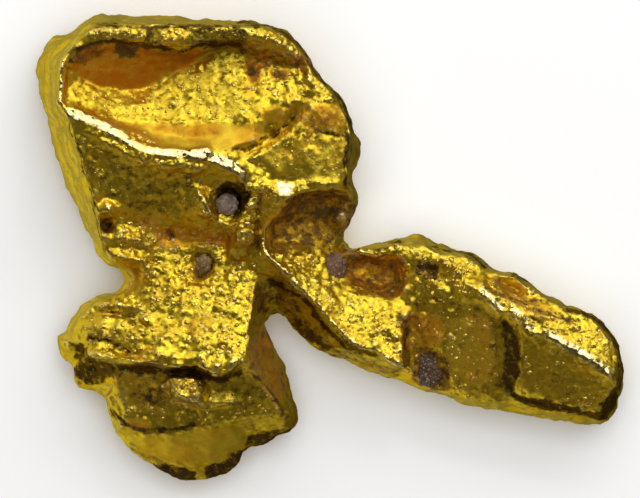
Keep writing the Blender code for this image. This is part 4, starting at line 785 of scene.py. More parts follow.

# name: (smoothness, stain, dirt and painted shade, outline)
PATCHES = {
    "hopper": (1.0, 0.9, 0.1, [
        (72, 56), (92, 46), (142, 44), (160, 52), (190, 50), (215, 48), (204, 59), (182, 72), (160, 81),
        (141, 90), (104, 90), (86, 79), (72, 70),
    ]),
    "hopper_hole": (0.9, 0.7, 0.8, [(116, 46), (137, 46), (139, 57), (122, 60), (114, 54)]),
    "rim_gap": (0.4, 0.1, 0.7, [(144, 29), (160, 27), (159, 46), (146, 44)]),
    "rim_middle": (0.3, 0.1, 0.6, [(188, 29), (250, 30), (252, 44), (220, 48), (190, 46)]),
    "rim_shade": (0.3, 0.3, 0.52, [
        (206, 46), (250, 42), (280, 52), (312, 64), (310, 72), (270, 66), (240, 58),
    ]),
    "hopper_corner": (0.9, 0.8, 0.55, [(74, 56), (92, 48), (110, 46), (104, 58), (86, 66), (74, 66)]),
    "bright_face": (0.3, 0.0, 0.0, BRIGHT_FACE),
    "lobe_pit_1": (0.5, 0.9, 0.6, [(243, 58), (254, 56), (262, 68), (260, 82), (248, 84)]),
    "lobe_pit_2": (0.5, 0.9, 0.55, [(262, 53), (274, 55), (271, 69), (262, 66)]),
    "lobe_pit_3": (0.4, 0.8, 0.5, [(270, 70), (292, 69), (290, 80), (272, 80)]),
    "lobe_pit_4": (0.5, 0.8, 0.6, [(292, 56), (312, 58), (312, 68), (296, 70)]),
    "boat": (1.0, 0.5, 0.1, [
        (92, 115), (112, 119), (140, 124), (200, 126), (252, 122), (264, 124), (262, 139), (235, 149),
        (190, 150), (160, 146), (140, 138), (112, 124),
    ]),
    "boat_shade": (0.9, 0.7, 0.3, [(150, 124), (200, 126), (236, 126), (226, 136), (190, 139), (160, 134)]),
    "dark_face": (0.1, 0.0, 0.46, DARK_FACE),
    "cavern": (0.3, 0.7, 0.62, [
        (270, 222), (280, 208), (294, 197), (350, 193), (357, 208), (350, 228), (338, 240), (322, 248),
        (270, 249),
    ]),
    "cavern_roof": (0.5, 0.4, 0.55, [
        (286, 194), (348, 193), (350, 212), (322, 212), (296, 208), (282, 208),
    ]),
    "cavern_dark": (0.5, 0.4, 0.7, [
        (316, 206), (346, 202), (344, 214), (326, 216), (324, 226), (315, 224),
    ]),
    "recess": (0.1, 0.8, 0.56, [
        (346, 252), (360, 256), (404, 258), (406, 298), (380, 297), (350, 285), (342, 268),
    ]),
    "recess_root": (0.6, 0.8, 0.6, [(342, 249), (372, 255), (366, 266), (346, 286), (340, 262)]),
    "neck_stain": (0.4, 0.7, 0.1, [(150, 226), (172, 230), (228, 232), (226, 248), (190, 246), (160, 252)]),
    "neck_pit": (0.4, 0.4, 0.7, [(196, 252), (210, 251), (216, 262), (213, 276), (196, 278), (192, 268)]),
    "neck_west": (0.1, 0.4, 0.3, [(128, 262), (146, 268), (146, 284), (132, 292), (124, 280)]),
    "face_low": (0.2, 0.6, 0.3, [(138, 214), (162, 214), (162, 228), (142, 230)]),
    "grain_surround": (0.3, 0.3, 0.85, [
        (211, 200), (213, 190), (222, 181), (244, 182), (251, 194), (248, 208), (238, 218), (236, 196),
        (222, 192),
    ]),
    "block_stain": (0.3, 0.5, 0.1, [(262, 108), (288, 108), (284, 122), (262, 124)]),
    "block_brown": (0.3, 0.55, 0.42, [(300, 106), (342, 106), (346, 130), (312, 134), (296, 118)]),
    "east_block": (0.4, 0.3, 0.38, [
        (258, 156), (300, 140), (345, 140), (346, 186), (300, 180), (262, 172),
    ]),
    "pocket": (0.1, 0.4, 0.3, [(489, 276), (508, 275), (526, 288), (520, 296), (500, 290)]),
    "ridge_streaks": (0.2, 0.5, 0.34, [
        (496, 284), (520, 292), (548, 304), (566, 318), (540, 322), (520, 308), (502, 300),
    ]),
    "foot_wall": (0.35, 0.6, 0.4, [
        (266, 322), (274, 342), (290, 388), (276, 410), (256, 378), (246, 362), (250, 345),
    ]),
    "crotch": (0.6, 0.3, 0.6, [
        (256, 276), (276, 284), (300, 304), (312, 330), (290, 326), (268, 314), (256, 318),
    ]),
    "brown_shelf": (0.2, 0.6, 0.42, [
        (398, 318), (410, 309), (422, 316), (436, 311), (444, 328), (438, 345), (408, 347),
    ]),
    "arm_skirt": (0.6, 0.3, 0.5, [
        (292, 308), (316, 326), (345, 348), (372, 360), (400, 370), (396, 380), (345, 361), (306, 341),
        (292, 329),
    ]),
    "drop_wall": (0.4, 0.4, 0.6, [(396, 314), (410, 313), (410, 344), (402, 345)]),
    "matrix_surround": (0.2, 0.6, 0.68, [
        (412, 346), (440, 350), (450, 364), (452, 392), (436, 392), (412, 384),
    ]),
    "pit_surround": (0.2, 0.3, 0.8, [(414, 260), (440, 264), (441, 278), (424, 280), (412, 276)]),
    "clump_shade": (0.1, 0.1, 0.5, [
        (412, 296), (440, 296), (458, 302), (452, 316), (420, 314), (410, 306),
    ]),
    "brown_face": (0.4, 0.42, 0.38, [
        (446, 320), (484, 312), (494, 340), (494, 380), (470, 386), (446, 366),
    ]),
    "brown_face_top": (0.6, 0.0, 0.45, [
        (456, 300), (482, 302), (500, 318), (496, 332), (470, 318), (454, 318),
    ]),
    "valley": (0.5, 0.0, 0.5, [
        (484, 330), (500, 316), (516, 322), (525, 348), (520, 384), (504, 394), (486, 384), (492, 356),
    ]),
    "valley_dark": (0.5, 0.0, 0.8, [
        (499, 326), (512, 324), (521, 346), (518, 380), (506, 392), (500, 372), (506, 350),
    ]),
    "tip_dark": (0.7, 0.0, 0.95, [(606, 396), (618, 384), (619, 402), (610, 418), (598, 421), (600, 408)]),
    "tip_face": (0.3, 0.15, 0.42, [
        (528, 346), (560, 354), (596, 376), (602, 394), (580, 404), (532, 392), (522, 372),
    ]),
    "foot_block": (0.6, 0.0, 0.8, [(80, 355), (106, 359), (116, 368), (106, 385), (84, 384), (70, 372)]),
    "foot_recess": (0.5, 0.1, 0.8, [(68, 342), (86, 342), (92, 356), (76, 358)]),
    "foot_shade": (0.4, 0.3, 0.45, [(108, 368), (166, 376), (172, 384), (170, 410), (124, 410)]),
    "foot_hollow": (0.4, 0.3, 0.55, [
        (134, 388), (160, 384), (176, 392), (172, 410), (146, 412), (134, 402),
    ]),
    "foot_triangle": (0.3, 0.1, 0.5, [(196, 382), (246, 374), (276, 400), (236, 412), (206, 396)]),
    "foot_skin": (0.75, 0.3, 0.2, [
        (128, 436), (170, 438), (240, 424), (250, 440), (226, 462), (180, 464), (146, 456),
    ]),
    "foot_rust": (0.3, 0.7, 0.3, [(124, 417), (153, 420), (154, 432), (130, 430)]),
    "foot_heel": (0.5, 0.1, 0.8, [(246, 432), (290, 426), (294, 440), (262, 452), (244, 452)]),
    # Painted shadow along the foot's bottom edge, where it curves under.
    "foot_bottom_1": (0.5, 0.0, 0.8, [
        (140, 456), (162, 464), (184, 466), (196, 472), (196, 486), (150, 484),
    ]),
    "foot_bottom_2": (0.5, 0.0, 0.75, [
        (204, 466), (220, 462), (238, 448), (250, 452), (240, 472), (206, 484),
    ]),
    "foot_brown": (0.2, 0.5, 0.35, [(190, 316), (214, 314), (216, 334), (192, 336)]),
}

# Bands worn to a polish, and painted paler as a highlight.
POLISHED_HIGHLIGHT_BANDS = [
    [
        (69, 109), (78, 111), (88, 115), (98, 120), (110, 124.5), (122, 131.5), (134, 141), (146, 147),
        (160, 149), (180, 150), (199, 150), (208, 148), (216, 155), (226, 157), (237, 163), (246, 171),
        (247, 184), (240, 177), (231, 171), (220, 165.5), (212, 162), (203, 161), (188, 158.5), (170, 157),
        (155, 155), (142, 151), (130, 145.5), (117, 138), (104, 131), (92, 125), (82, 121), (70, 119),
    ],
    [(277, 182), (294, 184), (291, 198), (279, 195)],
    [(477, 292), (482, 286), (494, 297), (503, 307), (499, 314), (489, 304)],
    [(508, 312), (513, 306), (525, 316), (535, 328), (531, 336), (520, 323)],
    [
        (540, 334), (546, 328), (564, 339), (584, 350), (603, 363), (613, 372), (609, 377), (599, 370),
        (579, 357), (559, 346),
    ],
]

# Broken faces. name: (lumpiness, grains to 100 square plan units, smallest and largest radius, outline)
BROKEN = {
    "bright_face": (1.3, 2.4, 1.3, 2.6, BRIGHT_FACE),
    "rim_cluster": (1.2, 0.8, 1.4, 2.4, [(157, 27), (188, 26), (190, 45), (158, 46)]),
    "lobes": (1.8, 2.2, 1.5, 3.0, [(262, 60), (300, 66), (322, 84), (338, 104), (300, 106), (264, 100)]),
    "rim": (1.2, 3.0, 1.4, 3.0, [
        (92, 40), (96, 31), (150, 31), (240, 32), (284, 40), (302, 58), (290, 58), (262, 42), (220, 40),
        (150, 41),
    ]),
    "dark_face": (1.3, 1.3, 0.9, 2.2, DARK_FACE),
    "crown_fringe": (1.4, 2.6, 1.4, 2.8, [
        (120, 126), (160, 144), (200, 146), (206, 150), (150, 146), (126, 133),
    ]),
    "crown_skirt": (1.4, 2.2, 1.3, 2.6, [
        (84, 124), (130, 149), (165, 158), (206, 163), (208, 170), (160, 166), (110, 142),
    ]),
    "face_low": (2.4, 3.0, 1.5, 3.2, [
        (114, 218), (150, 222), (226, 226), (226, 250), (190, 250), (150, 254), (118, 250),
    ]),
    "arc": (2.8, 3.0, 1.4, 2.8, [(186, 176), (196, 172), (212, 190), (214, 214), (206, 218), (196, 206)]),
    "middle": (2.6, 2.6, 1.3, 2.8, [
        (208, 176), (240, 178), (266, 182), (278, 196), (264, 220), (256, 250), (236, 250), (222, 226),
        (206, 200),
    ]),
    "east_block": (1.1, 1.8, 1.0, 2.2, [
        (258, 156), (300, 112), (340, 118), (346, 186), (300, 188), (262, 176),
    ]),
    "neck": (1.4, 2.0, 1.6, 3.4, [(140, 256), (200, 252), (260, 254), (260, 300), (200, 310), (150, 304)]),
    "foot_top": (1.8, 1.8, 1.6, 3.6, [
        (86, 314), (104, 300), (150, 304), (256, 300), (246, 354), (210, 362), (120, 356), (80, 346),
    ]),
    "south_knob": (2.6, 3.0, 1.4, 2.8, [
        (170, 375), (198, 374), (206, 386), (204, 403), (190, 404), (176, 396),
    ]),
    "foot_south": (1.6, 1.6, 1.3, 2.8, [
        (112, 372), (186, 380), (270, 392), (276, 410), (230, 416), (160, 426), (118, 414),
    ]),
    "arm_root": (2.0, 2.6, 1.4, 3.0, [
        (270, 252), (324, 256), (336, 284), (330, 306), (300, 286), (276, 266),
    ]),
    "facet_d": (1.3, 2.8, 1.4, 3.0, [
        (322, 292), (360, 298), (408, 306), (396, 330), (398, 358), (356, 344), (334, 320),
    ]),
    "clumps": (2.4, 2.4, 1.5, 3.0, [
        (414, 258), (460, 260), (476, 276), (470, 296), (450, 304), (414, 300),
    ]),
    "brown_face": (1.8, 1.5, 1.0, 2.4, [
        (412, 312), (450, 304), (490, 310), (498, 380), (470, 394), (448, 380), (440, 346),
    ]),
    "north_east_face": (1.6, 2.4, 1.4, 2.8, [
        (486, 282), (530, 298), (570, 314), (600, 322), (614, 350), (606, 370), (500, 308),
    ]),
    "tip_face": (1.2, 1.2, 1.1, 2.4, [
        (520, 342), (560, 350), (604, 380), (602, 404), (580, 410), (526, 394),
    ]),
}


def in_millimetres(point):
    """A plan point with a height, moved to millimetres about the specimen's middle."""
    east, south, up = point
    return ((east - (WEST + EAST) / 2) * UNIT, ((NORTH + SOUTH) / 2 - south) * UNIT, up)


def outline_ring():
    """The girdle, anticlockwise seen from above, rising and falling a little."""
    ring = []
    for east, south in reversed(HEAD_OUTLINE + ARM_OUTLINE + FOOT_OUTLINE):
        wave = noise.noise(Vector((east, south, 0)) * GIRDLE_WAVE_RATE)
        ring.append(in_millimetres((east, south, GIRDLE_Z + GIRDLE_WAVE * wave)))
    return ring


def is_inside(x, y, ring):
    inside = False
    for (ax, ay, _), (bx, by, _) in zip(ring, ring[1:] + ring[:1]):
        if (ay > y) != (by > y) and x < ax + (y - ay) * (bx - ax) / (by - ay):
            inside = not inside
    return inside


def height_on_lines(spot, points, edges):
    """The height where two lines cross, taken from the line that runs nearest to the spot."""
    best = (math.inf, GIRDLE_Z)
    for a, b in edges:
        start = Vector(points[a][:2])
        along = Vector(points[b][:2]) - start
        share = min(1.0, max(0.0, (spot - start).dot(along) / along.length_squared))
        distance = (start + along * share - spot).length
        best = min(best, (distance, points[a][2] * (1 - share) + points[b][2] * share))
    return best[1]


def sheet(ring, lines):
    """One side of the specimen: a triangulated surface that keeps every line as a chain of edges."""
    points = []
    edges = []
    numbers = {}
    for line in [ring + ring[:1], *lines]:
        before = None
        for point in line:
            here = numbers.setdefault(point[:2], len(points))
            if here == len(points):
                points.append(point)
            if before is not None and before != here:
                edges.append((before, here))
            before = here
    plan, _, triangles, origins, *_ = geometry.delaunay_2d_cdt(
        [Vector(point[:2]) for point in points], edges, [], 0, SAME_POINT
    )
    corners = []
    for spot, origin in zip(plan, origins):
        up = points[origin[0]][2] if origin else height_on_lines(spot, points, edges)
        corners.append((spot.x, spot.y, up))
    kept = []
    for triangle in triangles:
        x, y, _ = (sum(corners[i][k] for i in triangle) / 3 for k in range(3))
        if is_inside(x, y, ring):
            kept.append(list(triangle))
    return corners, kept


def belly_ring(ring):
    """Where the wall turns under: the girdle drawn in and down, unevenly, and closed."""
    drawn = []
    for before, (x, y, _), after in zip(ring[-1:] + ring[:-1], ring, ring[1:] + ring[:1]):
        along = Vector(after[:2]) - Vector(before[:2])
        inward = Vector((-along.y, along.x)).normalized() * (BELLY_INSET * UNIT)
        wave = noise.noise(Vector((x, y, BELLY_Z)) * BELLY_WAVE_RATE)
        drawn.append((x + inward.x, y + inward.y, BELLY_Z + BELLY_WAVE * wave))
    return drawn + drawn[:1]


def surveyed_solid(name):
    """The two sides of the specimen, joined at the girdle."""
    ring = outline_ring()
    work = bmesh.new()
    upper_lines = [*HEAD_TOP.values(), *ARM_TOP.values(), *FOOT_TOP.values()]
    for side, lines in (("upper", upper_lines), ("under", list(UNDERSIDE.values()))):
        lines = [[in_millimetres(point) for point in line] for line in lines]
        if side == "under":
            lines.append(belly_ring(ring))
        corners, triangles = sheet(ring, lines)
        made = [work.verts.new(corner) for corner in corners]
        for triangle in triangles:
            order = triangle if side == "upper" else triangle[::-1]
            work.faces.new([made[i] for i in order])
    bmesh.ops.remove_doubles(work, verts=work.verts[:], dist=SAME_POINT)
    mesh = bpy.data.meshes.new(name)
    work.to_mesh(mesh)
    work.free()
    body = bpy.data.objects.new(name, mesh)
    bpy.context.scene.collection.objects.link(body)
    return body


def only(*chosen):
    """Selects these objects and nothing else, the first of them active."""
    bpy.ops.object.select_all(action="DESELECT")
    for item in chosen:
        item.select_set(True)
    bpy.context.view_layer.objects.active = chosen[0]


def finish_modifier(body, kind, **settings):
    only(body)
    modifier = body.modifiers.new(kind.title(), kind)
    for setting, value in settings.items():
        setattr(modifier, setting, value)
    bpy.ops.object.modifier_apply(modifier=modifier.name)


def smooth_rise(value, low, high):
    share = np.clip((value - low) / (high - low), 0, 1)
    return share * share * (3 - 2 * share)


class Ground:
    """Where every vertex of a body lies in the plan, with the measures that the relief needs."""

    def __init__(self, body):
        count = len(body.data.vertices)
        self.places = np.empty(count * 3)
        body.data.vertices.foreach_get("co", self.places)
        self.places = self.places.reshape(-1, 3)
        self.normals = np.empty(count * 3)
        body.data.vertices.foreach_get("normal", self.normals)
        self.normals = self.normals.reshape(-1, 3)
        east = self.places[:, 0] / UNIT + (WEST + EAST) / 2
        south = (NORTH + SOUTH) / 2 - self.places[:, 1] / UNIT
        self.plan = np.stack([east, south], axis=1)
        self.facing_up = self.upright(FACING_UP)
        self.not_under = self.upright(NOT_UNDER)
        self.under = 1 - self.upright(ABOVE_BELLY)

    def upright(self, span):
        """0 where the surface leans more than the first value, 1 where it faces up like the second."""
        return smooth_rise(self.normals[:, 2], *span)

    def fray(self):
        """Frays every edge measured in the plan from here on."""
        for rate, reach in FRAYING:
            for axis in range(2):
                shift = noise_at(self.places, rate, FRAYING_OCTAVES, FRAYING_SEED + axis)
                self.plan[:, axis] += reach * shift

    def from_line(self, line):
        """The distance of each vertex from a line of plan points, and how far along the line it is."""
        nearest = np.full(len(self.plan), np.inf)
        along = np.zeros(len(self.plan))
        walked = 0.0
        for start, end in zip(line, line[1:]):
            start = np.array(start[:2], float)
            step = np.array(end[:2], float) - start
            length = float(np.hypot(*step))
            share = np.clip((self.plan - start) @ step / length**2, 0, 1)
            gap = np.hypot(*(self.plan - start - share[:, None] * step).T)
            closer = gap < nearest
            nearest[closer] = gap[closer]
            along[closer] = walked + share[closer] * length
            walked += length
        return nearest, along

    def from_spot(self, east, south):
        return np.hypot(self.plan[:, 0] - east, self.plan[:, 1] - south)

    def in_patch(self, outline, softness=PATCH_SOFTNESS):
        """1 well inside a patch, falling to 0 outside it."""
        closed = list(outline) + [outline[0]]
        gap, _ = self.from_line(closed)
        inside = np.zeros(len(self.plan), bool)
        x, y = self.plan.T
        for (ax, ay), (bx, by) in zip(closed, closed[1:]):
            if ay != by:
                crosses = ((ay > y) != (by > y)) & (x < ax + (y - ay) * (bx - ax) / (by - ay))
                inside ^= crosses
        return smooth_rise(np.where(inside, gap, -gap), -softness / 2, softness / 2)


def shift_of(seed, steps):
    """How far a pattern with this seed is moved."""
    return Vector([seed * step for step in steps])


def noise_at(places, rate, octaves, seed):
    """Fractal noise, about -1 to 1, at each place."""
    shift = shift_of(seed, NOISE_STEPS)
    return np.array([noise.fractal(Vector(p) * rate + shift, 1.0, 2.0, octaves) for p in places])


def crystals_at(places, rate, seed):
    """Worn crystals packed side by side: how high each place stands out of the clefts, 0 to 1, and how
    far its crystal's own leaning top lifts it, in crystal widths."""
    shift = shift_of(seed, CRYSTAL_STEPS)
    top = np.empty(len(places))
    lift = np.empty(len(places))
    for i, place in enumerate(places):
        here = Vector(place) * rate + shift
        distances, middles = noise.voronoi(here)
        top[i] = distances[1] - distances[0]
        lift[i] = (noise.cell_vector(middles[0] * CELL_SPREAD) - HALF).dot(here - middles[0])
    top = np.clip(top * CLEFT_RISE, 0, 1)
    return top, lift * np.clip(top * LEAN_RISE, 0, 1)


def domes_at(places, rate, seed):
    """Rounded clumps side by side: 1 at the top of each, 0 where they meet."""
    shift = shift_of(seed, DOME_STEPS)
    found = np.array([noise.voronoi(Vector(place) * rate + shift)[0][0] for place in places])
    return np.clip(1 - (found / DOME_REACH) ** 2, 0, 1)


def patch_values(ground):
    """How smooth, how stained and how dark with dirt and painted shade each vertex is, from the patches
    that it lies in.
    """
    values = np.zeros((3, len(ground.plan)))
    for *amounts, outline in PATCHES.values():
        inside = ground.in_patch(outline) * ground.not_under
        for row, amount in zip(values, amounts):
            np.maximum(row, amount * inside, out=row)
    return values


def broken_relief(ground, sizes):
    """The relief of the whole surface: broad wear, and clumps, crystals and grain where it is rough."""
    smooth, _, _ = patch_values(ground)
    side = 1 - ground.upright(RELIEF_TOP)
    rough = (1 - smooth) * np.maximum(1 - side, np.maximum(SIDE_ROUGH, UNDER_ROUGH * ground.under))
    lumpy = np.ones(len(ground.plan))
    for lumpiness, *_, outline in BROKEN.values():
        lumpy += (lumpiness - 1) * ground.in_patch(outline, BROKEN_SOFTNESS)
    rise = (RELIEF + SIDE_RELIEF * side) * noise_at(ground.places, RELIEF_RATE, RELIEF_OCTAVES, 0)
    for seed, (rate, share) in enumerate(CLUMPS):
        domes = domes_at(ground.places, rate, CLUMP_SEED + seed) - 0.5
        rise += share * sizes.clumps * (lumpy - 1) * rough * domes
    for seed, (rate, share) in enumerate(CRYSTALS):
        top, lift = crystals_at(ground.places, rate, CRYSTAL_SEED + seed)
        rise += share * rough * (sizes.lumps * (top - MEAN_TOP) + sizes.tilt * lumpy**0.5 * lift / rate)
    grain = noise_at(ground.places, GRAIN_RATE, GRAIN_OCTAVES, GRAIN_NOISE_SEED)
    return rise + sizes.grain * (CALM_GRAIN + (1 - CALM_GRAIN) * rough) * grain


def ridge(gap, half_width):
    """1 along a line or at a spot, falling to 0 on both sides."""
    return np.exp(-((gap / half_width) ** 2))


def add_lines(ground, rise):
    """Raises the crests and lowers the creases."""
    for height, half_width, beading, line in CRESTS.values():
        gap, along = ground.from_line(line)
        turn = along * BEAD_RATE
        beads = 1 + beading * np.sin(turn) * np.sin(turn * BEAD_DRIFT + height * BEAD_START)
        rise += height * beads * ridge(gap, half_width) * ground.facing_up
    for depth, half_width, _, line in CREASES.values():
        gap, _ = ground.from_line(line)
        rise -= depth * ridge(gap, half_width) * ground.facing_up


def add_spots(ground, rise):
    """Raises the larger lumps and lowers the pits."""
    for east, south, radius, height in SPOTS:
        if 0 < height and radius <= LARGEST_GRAIN:
            continue
        gap = ground.from_spot(east, south) / radius
        shape = np.clip(1 - gap**2, 0, None) if height > 0 else ridge(gap, PIT_WIDTH)
        rise += height * shape * ground.facing_up


def add_relief(body, sizes):
    """Moves the surface along its normals."""
    ground = Ground(body)
    rise = broken_relief(ground, sizes)
    add_lines(ground, rise)
    add_spots(ground, rise)
    moved = ground.places + ground.normals * rise[:, None]
    body.data.vertices.foreach_set("co", moved.ravel())
    body.data.update()


def curvature(body, places, normals, rounds):
    """How far each vertex stands proud of its neighbours, in degrees of bend: above 0 on ridges."""
    ends = np.empty(len(body.data.edges) * 2, np.int32)
    body.data.edges.foreach_get("vertices", ends)
    a, b = ends.reshape(-1, 2).T
    step = places[b] - places[a]
    length = np.maximum(np.linalg.norm(step, axis=1), 1e-6)
    bend = np.einsum("ij,ij->i", normals[b] - normals[a], step) / length
    count = np.bincount(a, minlength=len(places)) + np.bincount(b, minlength=len(places))
    count = np.maximum(count, 1)

    total = np.bincount(a, bend, len(places)) + np.bincount(b, bend, len(places))
    proud = np.degrees(total / count)
    for _ in range(rounds):
        proud = (proud + spread_over(proud, a, b, count)) / 2
    return proud


def spread_over(values, a, b, count):
    """Each vertex's mean over its neighbours."""
    total = np.bincount(a, values[b], len(values)) + np.bincount(b, values[a], len(values))
    return total / count


def add_dirt_and_shade(ground, dirt_and_shade):
    """Adds the dark dirt and painted shade that lie in creases and pits to what the patches carry."""
    for _, half_width, amount, line in CREASES.values():
        gap, _ = ground.from_line(line)
        dirt_and_shade = np.maximum(dirt_and_shade, amount * ridge(gap, CREASE_DIRT_AND_SHADE * half_width) * ground.not_under)
    for east, south, radius, height in SPOTS:
        if height < SHALLOW_PIT:
            gap = ground.from_spot(east, south)
            amount = min(1.0, height / DEEP_PIT)
            dirt_and_shade = np.maximum(dirt_and_shade, amount * ridge(gap, PIT_DIRT_AND_SHADE * radius) * ground.facing_up)
    return dirt_and_shade


def store_masks(body, masks):
    """Stores what the gold's material reads, one value to a vertex."""
    for name, values in masks.items():
        layer = body.data.attributes.new(name, "FLOAT", "POINT")
        layer.data.foreach_set("value", np.asarray(values, np.float32))


def mark_surface(body):
    """Works out what the gold's material reads, stores it on the body and returns it."""
    ground = Ground(body)
    side = 1 - ground.upright(UNSHADED_TOP)
    crest = np.zeros(len(ground.plan))
    for outline in POLISHED_HIGHLIGHT_BANDS:
        crest = np.maximum(crest, ground.in_patch(outline, POLISH_SOFTNESS) * ground.facing_up)
    ground.fray()
    smooth, stain, dirt_and_shade = patch_values(ground)
    kept_on_walls = WALL_DIRT_AND_SHADE + (1 - WALL_DIRT_AND_SHADE) * ground.upright(DIRT_AND_SHADE_HOLD)
    proud = curvature(body, ground.places, ground.normals, BEND_ROUNDS)
    masks = {
        "smooth": smooth,
        "stain": stain,
        # Dirt with painted shade: darker in creases, pits and on faces that lie in shade.
        "dirt_and_shade": add_dirt_and_shade(ground, dirt_and_shade) * kept_on_walls,
        # Steep sides: a dull worn skin, partly painted shade in place of how the sides are lit.
        "skin_and_side_shade": side * (1 - ground.under),
        "crest": crest,
        # Convex edges: worn, and painted paler as a highlight.
        "worn": smooth_rise(proud, *WORN_HIGHLIGHT_BEND),
        # Concave places: iron stain, partly painted shade where the hollow lies in shade.
        "hollow_stain_and_shade": smooth_rise(-proud, *HOLLOW_BEND),
    }
    store_masks(body, masks)
    return masks


def strewn_in(outline, count, draw):
    """Plan points picked at random inside an outline."""
    ring = [(east, south, 0) for east, south in outline]
    easts, souths = zip(*outline)
    found = []
    while len(found) < count:
        spot = (draw.uniform(min(easts), max(easts)), draw.uniform(min(souths), max(souths)))
        if is_inside(*spot, ring):
            found.append(spot)
    return found


def grain_places(draw):
    """Every grain as (east, south, radius): the named small lumps, then what is strewn."""
    grains = [
        (east, south, radius * NAMED_GRAIN)
        for east, south, radius, height in SPOTS
        if height > 0 and radius <= LARGEST_GRAIN
    ]
    for _, density, smallest, largest, outline in BROKEN.values():
        closed = outline + outline[:1]
        area = abs(sum(a[0] * b[1] - a[1] * b[0] for a, b in zip(closed, closed[1:]))) / 2
        for east, south in strewn_in(outline, int(area * density / 100), draw):
            grains.append((east, south, draw.uniform(smallest, largest)))
    return grains


def grain_template():
    """One low lump, modelled once: vertices and faces about its own middle."""
    bpy.ops.object.select_all(action="DESELECT")
    bpy.ops.mesh.primitive_uv_sphere_add(segments=GRAIN_SIDES, ring_count=GRAIN_RINGS, radius=1)
    lump = bpy.context.object
    points = np.array([point.co for point in lump.data.vertices])
    # Sorted, because Blender lists them in another order each time.
    faces = sorted(list(face.vertices) for face in lump.data.polygons)
    bpy.data.objects.remove(lump, do_unlink=True)
    return points, faces


def settled(grain, points, surface, draw):
    """The template's points for one grain, half sunk in the gold where it lies, or None off the gold."""
    east, south, radius = grain
    x, y, _ = in_millimetres((east, south, 0))
    spot, normal, _, _ = surface.ray_cast(Vector((x, y, 4 * GIRDLE_Z)) * METRES, Vector((0, 0, -1)))
    if spot is None or normal.z < STEEPEST_PERCH:
        return None
    size = radius * UNIT * METRES
    height = draw.uniform(*GRAIN_HEIGHTS)
    widths = np.array([1.0, draw.uniform(*GRAIN_WIDTHS), height]) * size
    turn = draw.uniform(0, 2 * math.pi)
    shift = Vector((east, south, 0))
    lumps = np.array([noise.noise(Vector(point) * GRAIN_LUMP_RATE + shift) for point in points])
    own = points * (1 + GRAIN_LUMPS * lumps)[:, None] * widths
    own = own @ np.array(Matrix.Rotation(turn, 3, "Z")).T
    upright = np.array(normal.to_track_quat("Z", "Y").to_matrix())
    return own @ upright.T + np.array(spot) - np.array(normal) * size * height * GRAIN_SINK


# ---------------------------------------------------------------------------------------------
# Materials
# ---------------------------------------------------------------------------------------------
class Wiring:
    """Adds nodes to a tree from left to right and joins them."""

    def __init__(self, tree):
        self.tree = tree
        self.across = 0

    def add(self, kind, inputs=None, **settings):
        node = self.tree.nodes.new(kind)
        node.location = (self.across, 0)
        self.across += NODE_STEP
        for setting, value in settings.items():
            setattr(node, setting, value)
        for socket, value in (inputs or {}).items():
            if isinstance(value, bpy.types.NodeSocket):
                self.tree.links.new(value, node.inputs[socket])
            else:
                node.inputs[socket].default_value = value
        return node

    def maths(self, operation, a, b=0.0, clamp=False):
        node = self.add("ShaderNodeMath", {0: a, 1: b}, operation=operation, use_clamp=clamp)
        return node.outputs[0]

    def times(self, a, b):
        return self.maths("MULTIPLY", a, b)

    def plus(self, a, b):
        return self.maths("ADD", a, b)

    def minus(self, a, b, clamp=False):
        return self.maths("SUBTRACT", a, b, clamp)

    def noise(self, place, scale, **inputs):
        inputs = {"Vector": place, "Scale": scale, **inputs}
        return self.add("ShaderNodeTexNoise", inputs).outputs["Fac"]

    def vector(self, operation, a, b=(0, 0, 0)):
        node = self.add("ShaderNodeVectorMath", {0: a, 1: b}, operation=operation)
        return node.outputs["Value" if operation in ("LENGTH", "DOT_PRODUCT") else "Vector"]

    def scaled(self, vector, amount):
        node = self.add("ShaderNodeVectorMath", {0: vector, "Scale": amount}, operation="SCALE")
        return node.outputs["Vector"]

    def mix(self, share, a, b):
        node = self.add("ShaderNodeMix", data_type="RGBA")
        for socket, value in (("Factor_Float", share), ("A_Color", a), ("B_Color", b)):
            found = next(item for item in node.inputs if item.identifier == socket)
            if isinstance(value, bpy.types.NodeSocket):
                self.tree.links.new(value, found)
            else:
                found.default_value = value
        return next(item for item in node.outputs if item.identifier == "Result_Color")

    def ramp(self, value, low, high):
        node = self.add(
            "ShaderNodeMapRange", {"Value": value, "From Min": low, "From Max": high}, clamp=True
        )
        return node.outputs["Result"]

    def mask(self, name):
        return self.add("ShaderNodeAttribute", attribute_name=name).outputs["Fac"]


def new_group(name, inputs, outputs):
    """An empty node group, with the kind of each named socket."""
    group = bpy.data.node_groups.new(name, "ShaderNodeTree")
    for in_out, sockets in (("INPUT", inputs), ("OUTPUT", outputs)):
        for socket, kind in sockets.items():
            group.interface.new_socket(socket, in_out=in_out, socket_type="NodeSocket" + kind)
    return group


